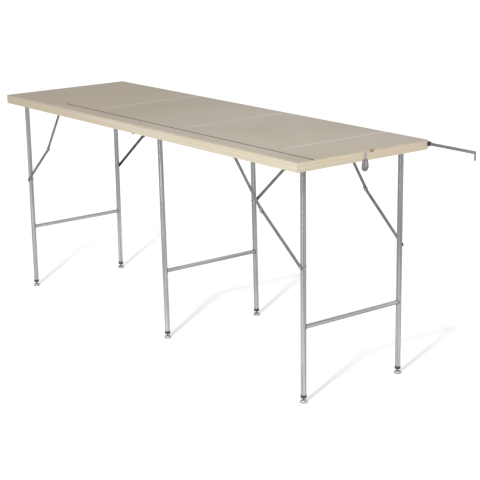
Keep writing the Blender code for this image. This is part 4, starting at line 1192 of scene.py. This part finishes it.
class PASTING_TABLE_OT_feet(bpy.types.Operator):
    """Turn the six levelling feet: a domed disc on a threaded stem"""

    bl_idname = "pasting_table.feet"
    bl_label = "Screw feet"

    def execute(self, context):
        for _, label, place in leg_ends():
            shape = turned(self.section(), 40, place)
            node = label + "_foot"
            foot = add_piece(label + "_screw_foot", shape, node, ("foot",), [node])
            light_group(foot, "leg_shadows")
        return {"FINISHED"}

    def section(self):
        """The threaded stem down to its neck, the domed disc and its slightly hollow sole."""
        half = THREAD_PITCH / 2
        points = [(0, STEM_TOP), (STEM_RADIUS - 0.4 * MM, STEM_TOP), (STEM_RADIUS, STEM_TOP - half)]
        for turn in range(1, THREAD_TURNS + 1):
            crest = STEM_TOP - turn * THREAD_PITCH
            points += [(STEM_RADIUS, crest), (THREAD_ROOT, crest - half)]
        points += [(STEM_RADIUS - 0.1 * MM, FOOT_HEIGHT + 0.7 * MM)]
        points += [(STEM_RADIUS + 0.4 * MM, FOOT_HEIGHT + 0.2 * MM), (FOOT_NECK_RADIUS, FOOT_HEIGHT)]
        centre = (FOOT_RADIUS - FOOT_DOME_RADIUS, FOOT_HEIGHT - FOOT_DOME_RADIUS)
        points += arc(centre, FOOT_DOME_RADIUS, 90, 0, 12)
        points += [(FOOT_RADIUS, 1.4 * MM), (FOOT_RADIUS - 0.4 * MM, 0.5 * MM), (FOOT_BASE_RADIUS, 0)]
        return points + [(SOLE_RADIUS, 0), (HOLLOW_RADIUS, HOLLOW_DEPTH), (0, HOLLOW_DEPTH)]


class PASTING_TABLE_OT_braces(bpy.types.Operator):
    """Roll the ten brace links, with their knee eyes and rivets and their rail screws"""

    bl_idname = "pasting_table.braces"
    bl_label = "Braces"

    def execute(self, context):
        for name, side_name in BRACES:
            leg_pivot, knee, rail_pivot = brace_points(FRAMES[name])
            lower, knee_inset, upper, top = brace_insets(name, side_name)
            label = name + "_" + side_name
            self.lower_link(label, SIDES[side_name], leg_pivot, knee, lower, knee_inset)
            self.upper_link(label, SIDES[side_name], rail_pivot, knee, upper, top)
        return {"FINISHED"}

    def lower_link(self, label, side, leg_pivot, knee, lower, knee_inset):
        """The link from the leg bolt to the knee, with the knee's eye and inner rivet head."""
        way = knee - leg_pivot
        reach = way.length
        offset = side * (lower - knee_inset)
        stations = [(-LINK_END, 0), (LINK_FLAT, 0), (reach - LINK_FLAT, offset)]
        stations.append((reach + KNEE_OVERLAP, offset))
        shape = flat_bar(stations)
        knee_end(shape, reach, offset, -side)
        pivot = at(leg_pivot.x, from_side(lower, side), leg_pivot.y)
        self.place(shape, pivot, way, label + "_lower_strip", label + "_lower_link")

    def upper_link(self, label, side, rail_pivot, knee, upper, top):
        """The link from the rail to the knee, bent off the rail, with its rail screw in one piece."""
        way = knee - rail_pivot
        reach = way.length
        bend = upper if upper - top < TOP_BEND_RUN / 2 else min(TOP_BEND_INSET, upper)
        line = [(-LINK_END, top), (TOP_FLAT, top), (TOP_FLAT + TOP_BEND_RUN, bend)]
        line += [(reach - LINK_FLAT, upper), (reach + KNEE_OVERLAP, upper)]
        stations = [(run, side * (top - inset)) for run, inset in line]
        shape = flat_bar(stations)
        knee_end(shape, reach, stations[-1][1], side)
        head = facing((0, -side * (LINK_THICKNESS / 2 - HEAD_SINK), 0), (0, -side, 0))
        join(shape, turned(dome(BOLT_HEAD_RADIUS, SCREW_HEAD_HEIGHT), 28, head), 1)
        shank = [(0, MM), (BOLT_RADIUS, MM), (BOLT_RADIUS, SCREW_TIP_LENGTH - SCREW_LENGTH)]
        shank += [(SCREW_TIP_RADIUS, -SCREW_LENGTH), (0, -SCREW_LENGTH)]
        join(shape, turned(shank, 20, head), 1)
        pivot = at(rail_pivot.x, from_side(top, side), rail_pivot.y)
        self.place(shape, pivot, way, label + "_upper_strip", label + "_upper_link")

    def place(self, shape, pivot, way, piece, node):
        """Turns a link along its way, moves it to its pivot and makes the piece."""
        turn = Matrix.Rotation(-math.atan2(way.y, way.x), 4, "Y")
        bmesh.ops.transform(shape, matrix=Matrix.Translation(pivot) @ turn, verts=shape.verts)
        finish = "dark_brace" if node.startswith("left_back") else "brace"
        add_piece(piece, shape, node, (finish, "bright"), [node], 20)


class PASTING_TABLE_OT_leg_bolts(bpy.types.Operator):
    """Set the five leg bolts, domed outside and riveted over on the leg's inner side"""

    bl_idname = "pasting_table.leg_bolts"
    bl_label = "Leg bolts"

    # Heights and radii of the low hammered end in millimetres, from the leg's wall to its crown
    RIVETED_END = ((0, 4.5), (0.5, 4.5), (1.2, 3.8), (1.6, 2.4), (1.8, 0))

    def execute(self, context):
        grip = LINK_THICKNESS + 2 * TUBE_RADIUS + 3 * SEAT_GAP
        profile = dome(BOLT_HEAD_RADIUS, BOLT_HEAD_HEIGHT) + [(BOLT_RADIUS, 0), (BOLT_RADIUS, -grip)]
        profile += [(radius * MM, -grip - height * MM) for height, radius in self.RIVETED_END]
        for name, side_name in BRACES:
            side = SIDES[side_name]
            leg_pivot = brace_points(FRAMES[name])[0]
            head_inset = brace_insets(name, side_name)[0] - LINK_THICKNESS / 2 - SEAT_GAP
            place = facing(at(leg_pivot.x, from_side(head_inset, side), leg_pivot.y), (0, side, 0))
            shape = turned(profile, 28, place)
            label = name + "_" + side_name
            node = label + "_leg_bolt"
            add_piece(label + "_riveted_bolt", shape, name + "_leg", ("bright",), [node])
        return {"FINISHED"}


class PASTING_TABLE_OT_saddles(bpy.types.Operator):
    """Finish the saddle straps and add the pan-head screws in their flanges"""

    bl_idname = "pasting_table.saddles"
    bl_label = "Saddles"

    def execute(self, context):
        reach = TUBE_RADIUS + SEAT_GAP + STRAP_THICKNESS + FLANGE_SCREW_INSET
        for name, spec in FRAMES.items():
            body = "left_half" if name == "left" else "right_half"
            ways = (1,) if name == "middle" else (-1, 1)
            for side_name, side in SIDES.items():
                strap = name + "_" + side_name + "_saddle"
                dress(strap, "bright")
                y = TABLE_WIDTH / 2 + spec["shift"] + side * STRAP_SPACING / 2
                places = [at(spec["x"] + way * reach, y, UNDERSIDE - PLATE_FACE) for way in ways]
                shape = heads(places, (0, 0, -1), FLANGE_SCREW_HEAD, 6)
                add_piece(strap + "_screws", shape, body, ("bright",), ())
        return {"FINISHED"}


class PASTING_TABLE_OT_hinges(bpy.types.Operator):
    """Finish the centre hinges' leaves and pins and add their low screws"""

    bl_idname = "pasting_table.hinges"
    bl_label = "Centre hinges"

    def execute(self, context):
        for side in ("front", "back"):
            for half, way in (("left", -1), ("right", 1)):
                node = half + "_" + side + "_hinge_leaf"
                dress(node, "bright")
                low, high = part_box(node)
                x = CORNER.x + TABLE_LENGTH / 2 + way * LEAF_SCREW_REACH
                rows = (low.y + LEAF_SCREW_INSET, high.y - LEAF_SCREW_INSET)
                places = [(x, y, RAIL_BOTTOM - PLATE_FACE) for y in rows]
                shape = heads(places, (0, 0, -1), LEAF_SCREW_HEAD, 5)
                add_piece(node + "_screws", shape, half + "_half", ("bright",), ())
            dress(side + "_hinge_pin", "bright")
        return {"FINISHED"}


class PASTING_TABLE_OT_hasp(bpy.types.Operator):
    """Press the hasp, and finish its screw, its stud and the catch plate"""

    bl_idname = "pasting_table.hasp"
    bl_label = "Hasp and catch"

    def execute(self, context):
        shape = pressed([(0, y, z) for y, z in self.outline()], (HASP_THICKNESS, 0, 0))
        round_edges(shape, sharp_edges(shape, 60), HASP_ROUNDING, 3)
        join(shape, self.dish())
        pivot = at(TABLE_LENGTH + SEAT_GAP, TABLE_WIDTH / 2, BOARD_TOP - HASP_DROP)
        bmesh.ops.translate(shape, vec=pivot, verts=shape.verts)
        add_piece("pressed_hasp", shape, "hasp", ("hasp",), ["hasp"], 50)

        face = TABLE_LENGTH + SEAT_GAP + HASP_THICKNESS
        place = facing(at(face, TABLE_WIDTH / 2, BOARD_TOP - HASP_DROP), (1, 0, 0))
        profile = dome(HASP_SCREW_HEAD_RADIUS, HASP_SCREW_HEAD_HEIGHT) + [(HASP_SCREW_RADIUS, 0)]
        profile += [(HASP_SCREW_RADIUS, 0.5 * MM - HASP_SCREW_LENGTH), (0, -HASP_SCREW_LENGTH)]
        shape = turned(profile, 28, place)
        add_piece("hasp_pan_screw", shape, "right_half", ("bright",), ["hasp_screw"])
        dress("hasp_stud", "bright")
        dress("catch_plate", "catch")
        return {"FINISHED"}

    def outline(self):
        """The narrow neck and pear-shaped body, as (y, z) below the screw."""
        widening = (BOTTOM_RADIUS - SHOULDER_RADIUS) / (BOTTOM_DROP - SHOULDER_DROP)
        tilt = math.degrees(math.asin(widening))
        start = math.degrees(math.acos(NECK_RADIUS / SHOULDER_RADIUS))
        outline = arc((0, 0), NECK_RADIUS, 0, 180, 14)
        outline += arc((0, -SHOULDER_DROP), SHOULDER_RADIUS, 180 - start, 180 - tilt, 8)
        outline += arc((0, -BOTTOM_DROP), BOTTOM_RADIUS, 180 - tilt, 360 + tilt, 30)
        return outline + arc((0, -SHOULDER_DROP), SHOULDER_RADIUS, tilt, start, 8)

    def dish(self):
        """The raised, rounded middle that is pressed out of the body."""
        shape = bmesh.new()
        bmesh.ops.create_uvsphere(shape, u_segments=40, v_segments=24, radius=1)
        depth, width, height = DISH_SIZE
        for vert in shape.verts:
            taper = width - DISH_TAPER * vert.co.z
            vert.co = Vector((vert.co.x * depth, vert.co.y * taper, vert.co.z * height))
        bmesh.ops.translate(shape, vec=(HASP_THICKNESS / 2, 0, -DISH_DROP), verts=shape.verts)
        bmesh.ops.bisect_plane(
            shape,
            geom=list(shape.verts) + list(shape.edges) + list(shape.faces),
            dist=CUT_DISTANCE,
            plane_co=(0.4 * HASP_THICKNESS, 0, 0),
            plane_no=(1, 0, 0),
            clear_inner=True,
        )
        close_ends(shape)
        return shape


class PASTING_TABLE_OT_arm(bpy.types.Operator):
    """Bend the pull-out arm with its finger and stop, and strap its two moulded guides"""

    bl_idname = "pasting_table.arm"
    bl_label = "Pull-out arm"

    def execute(self, context):
        self.bend_arm()
        for side in ("outer", "inner"):
            node = side + "_arm_guide"
            dress(node, "plastic")
            self.strap_guide(side, *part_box(node))
        return {"FINISHED"}

    def bend_arm(self):
        low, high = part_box("pull_out_arm")
        top = high.z
        under = top - ARM_HEIGHT
        stop_low = top - STOP_DROP
        stop_x = low.x + STOP_WIDTH
        inner, outer, tip = ARM_INNER_RADIUS, ARM_OUTER_RADIUS, FINGER_TIP_RADIUS
        outline = [(low.x, top), (low.x, stop_low + STOP_CHAMFER), (low.x + STOP_CHAMFER, stop_low)]
        outline += [(stop_x, stop_low), (stop_x, under)]
        outline += arc((high.x - FINGER_WIDTH, under - inner), inner, 90, 0, 5)
        outline += arc((high.x - tip, low.z + tip), tip, 180, 360, 10)
        outline += arc((high.x - outer, top - outer), outer, 0, 90, 8)
        places = [(x, low.y, z) for x, z in outline]
        shape = pressed(places, (0, high.y - low.y, 0))
        round_edges(shape, sharp_edges(shape, 80), ARM_ROUNDING)
        add_piece("bent_strip_arm", shape, "pull_out_arm", ("arm",), ["pull_out_arm"], 20)

    def strap_guide(self, side, low, high):
        """A thin steel band over a guide, with a flange against the rail above and below it."""
        thick = BAND_THICKNESS
        rail_y = CORNER.y + TABLE_WIDTH
        above = high.z + BAND_FLANGE_ABOVE
        below = low.z - BAND_FLANGE_BELOW
        inside = [(rail_y, above), (rail_y, high.z), (high.y, high.z)]
        inside += [(high.y, low.z), (rail_y, low.z), (rail_y, below)]
        outside = [(rail_y + thick, below), (rail_y + thick, low.z - thick)]
        outside += [(high.y + thick, low.z - thick), (high.y + thick, high.z + thick)]
        outside += [(rail_y + thick, high.z + thick), (rail_y + thick, above)]
        start = high.x - BAND_INSET
        shape = pressed([(start, y, z) for y, z in inside + outside], (BAND_WIDTH, 0, 0))
        round_edges(shape, sharp_edges(shape, 60), BAND_ROUNDING)
        middle = start + BAND_WIDTH / 2
        heights = (high.z + BAND_RIVET_ABOVE, low.z - BAND_RIVET_BELOW)
        places = [(middle, rail_y + thick, height) for height in heights]
        join(shape, heads(places, (0, 1, 0), BAND_RIVET_HEAD, 5))
        add_piece(side + "_guide_strap", shape, "right_half", ("bright",), (), 20)


class PASTING_TABLE_OT_stage(bpy.types.Operator):
    """Set up the white floor, the even surround, the lamps and the camera"""

    bl_idname = "pasting_table.stage"
    bl_label = "Studio"

    def execute(self, context):
        look = context.scene.table_studio
        floor = self.lay_floor(look)
        self.light_surround(context, look)
        self.hang_key(look, floor)
        self.hang_shadow_lamp(look, floor)
        self.stand_strip_lamp(look)
        self.place_camera(context)
        context.scene.view_settings.view_transform = "Standard"
        return {"FINISHED"}

    def lay_floor(self, look):
        shape = bmesh.new()
        bmesh.ops.create_circle(shape, cap_ends=True, segments=96, radius=FLOOR_RADIUS)
        bmesh.ops.translate(shape, vec=(0, 0, -SEAT_GAP), verts=shape.verts)
        mesh = mesh_of("studio_floor", shape)
        mesh.materials.append(white_floor(look))
        floor = object_of("studio_floor", mesh)
        return floor

    def light_surround(self, context, look):
        world = bpy.data.worlds.new("white_studio")
        context.scene.world = world
        world.use_nodes = True
        tree = world.node_tree
        tree.nodes.clear()
        even = add(tree, "Background", {}, {"Color": (1, 1, 1, 1), "Strength": look.surround})
        white = add(tree, "Background", {}, {"Color": (1, 1, 1, 1), "Strength": 1.0})
        both = add(tree, "MixShader", {}, {0: seen_directly(tree), 1: even, 2: white})
        add(tree, "OutputWorld", {}, {"Surface": both})

    def hang(self, name, energy, place, width, height=None):
        """Hangs an area lamp aimed at the table: a disc, or a rectangle if it has a height."""
        lamp = bpy.data.lights.new(name, "AREA")
        lamp.energy = energy
        lamp.shape = "RECTANGLE" if height else "DISK"
        lamp.size = width
        lamp.size_y = height or width
        obj = object_of(name, lamp)
        turn = (TABLE_MIDDLE - place).to_track_quat("-Z", "Y").to_matrix().to_4x4()
        obj.matrix_world = Matrix.Translation(place) @ turn
        return obj

    def hang_key(self, look, floor):
        """The main lamp. It reaches all but the floor, which the surround and another lamp light."""
        lamp = self.hang("key_lamp", look.key, KEY_PLACE, KEY_SIZE)
        rest = light_group(floor, "all_but_floor")
        rest.collection_objects[0].light_linking.link_state = "EXCLUDE"
        lamp.light_linking.receiver_collection = rest

    def hang_shadow_lamp(self, look, floor):
        """A soft lamp that reaches only the floor and draws only the legs' long shadows on it."""
        lamp = self.hang("shadow_lamp", look.shadow_lamp, SHADOW_LAMP_PLACE, SHADOW_LAMP_SIZE)
        lamp.light_linking.receiver_collection = light_group(floor, "floor_only")
        lamp.light_linking.blocker_collection = bpy.data.collections["leg_shadows"]

    def stand_strip_lamp(self, look):
        """A tall narrow lamp in front of the table that draws a light line down each leg tube."""
        lamp = self.hang("strip_lamp", look.strip_lamp, STRIP_PLACE, STRIP_WIDTH, STRIP_HEIGHT)
        lamp.light_linking.receiver_collection = bpy.data.collections["lit_tubes"]

    def place_camera(self, context):
        """The photograph's camera: 52.3 degrees round from the front and 14.9 degrees down."""
        ahead = Vector((-math.sin(CAMERA_AZIMUTH), math.cos(CAMERA_AZIMUTH), 0)) * math.cos(CAMERA_DOWN)
        ahead.z = -math.sin(CAMERA_DOWN)
        sideways = ahead.cross(Vector((0, 0, 1))).normalized()
        over = sideways.cross(ahead)
        across = sideways * math.cos(CAMERA_ROLL) + over * math.sin(CAMERA_ROLL)
        up = over * math.cos(CAMERA_ROLL) - sideways * math.sin(CAMERA_ROLL)
        camera = bpy.data.cameras.new("photo_camera")
        camera.lens = CAMERA_LENS
        camera.sensor_width = CAMERA_SENSOR
        camera.shift_x, camera.shift_y = CAMERA_SHIFT
        camera.clip_end = CAMERA_REACH
        obj = object_of("photo_camera", camera)
        turn = Matrix((across, up, -ahead)).transposed().to_4x4()
        obj.matrix_world = Matrix.Translation(CAMERA_PLACE) @ turn
        context.scene.camera = obj


OPERATORS = (
    PASTING_TABLE_OT_boards,
    PASTING_TABLE_OT_rails,
    PASTING_TABLE_OT_leg_frames,
    PASTING_TABLE_OT_collars,
    PASTING_TABLE_OT_feet,
    PASTING_TABLE_OT_braces,
    PASTING_TABLE_OT_leg_bolts,
    PASTING_TABLE_OT_saddles,
    PASTING_TABLE_OT_hinges,
    PASTING_TABLE_OT_hasp,
    PASTING_TABLE_OT_arm,
    PASTING_TABLE_OT_stage,
)


class PASTING_TABLE_PT_pieces(bpy.types.Panel):
    """Lists the pieces of the table and their settings"""

    bl_idname = "PASTING_TABLE_PT_pieces"
    bl_label = "Pasting Table"
    bl_space_type = "VIEW_3D"
    bl_region_type = "UI"
    bl_category = "Pasting Table"

    def draw(self, context):
        layout = self.layout
        for operator in OPERATORS:
            layout.operator(operator.bl_idname)
        for name, group in GROUPS.items():
            box = layout.box()
            for setting in group.__annotations__:
                box.prop(getattr(context.scene, name), setting)


def register():
    for group in GROUPS.values():
        bpy.utils.register_class(group)
    for operator in OPERATORS:
        bpy.utils.register_class(operator)
    bpy.utils.register_class(PASTING_TABLE_PT_pieces)
    for name, group in GROUPS.items():
        setattr(bpy.types.Scene, name, bpy.props.PointerProperty(type=group))


def unregister():
    for name in GROUPS:
        delattr(bpy.types.Scene, name)
    bpy.utils.unregister_class(PASTING_TABLE_PT_pieces)
    for operator in reversed(OPERATORS):
        bpy.utils.unregister_class(operator)
    for group in reversed(list(GROUPS.values())):
        bpy.utils.unregister_class(group)


def main():
    register()
    for operator in OPERATORS:
        family, name = operator.bl_idname.split(".")
        getattr(getattr(bpy.ops, family), name)()


if __name__ == "__main__":
    main()
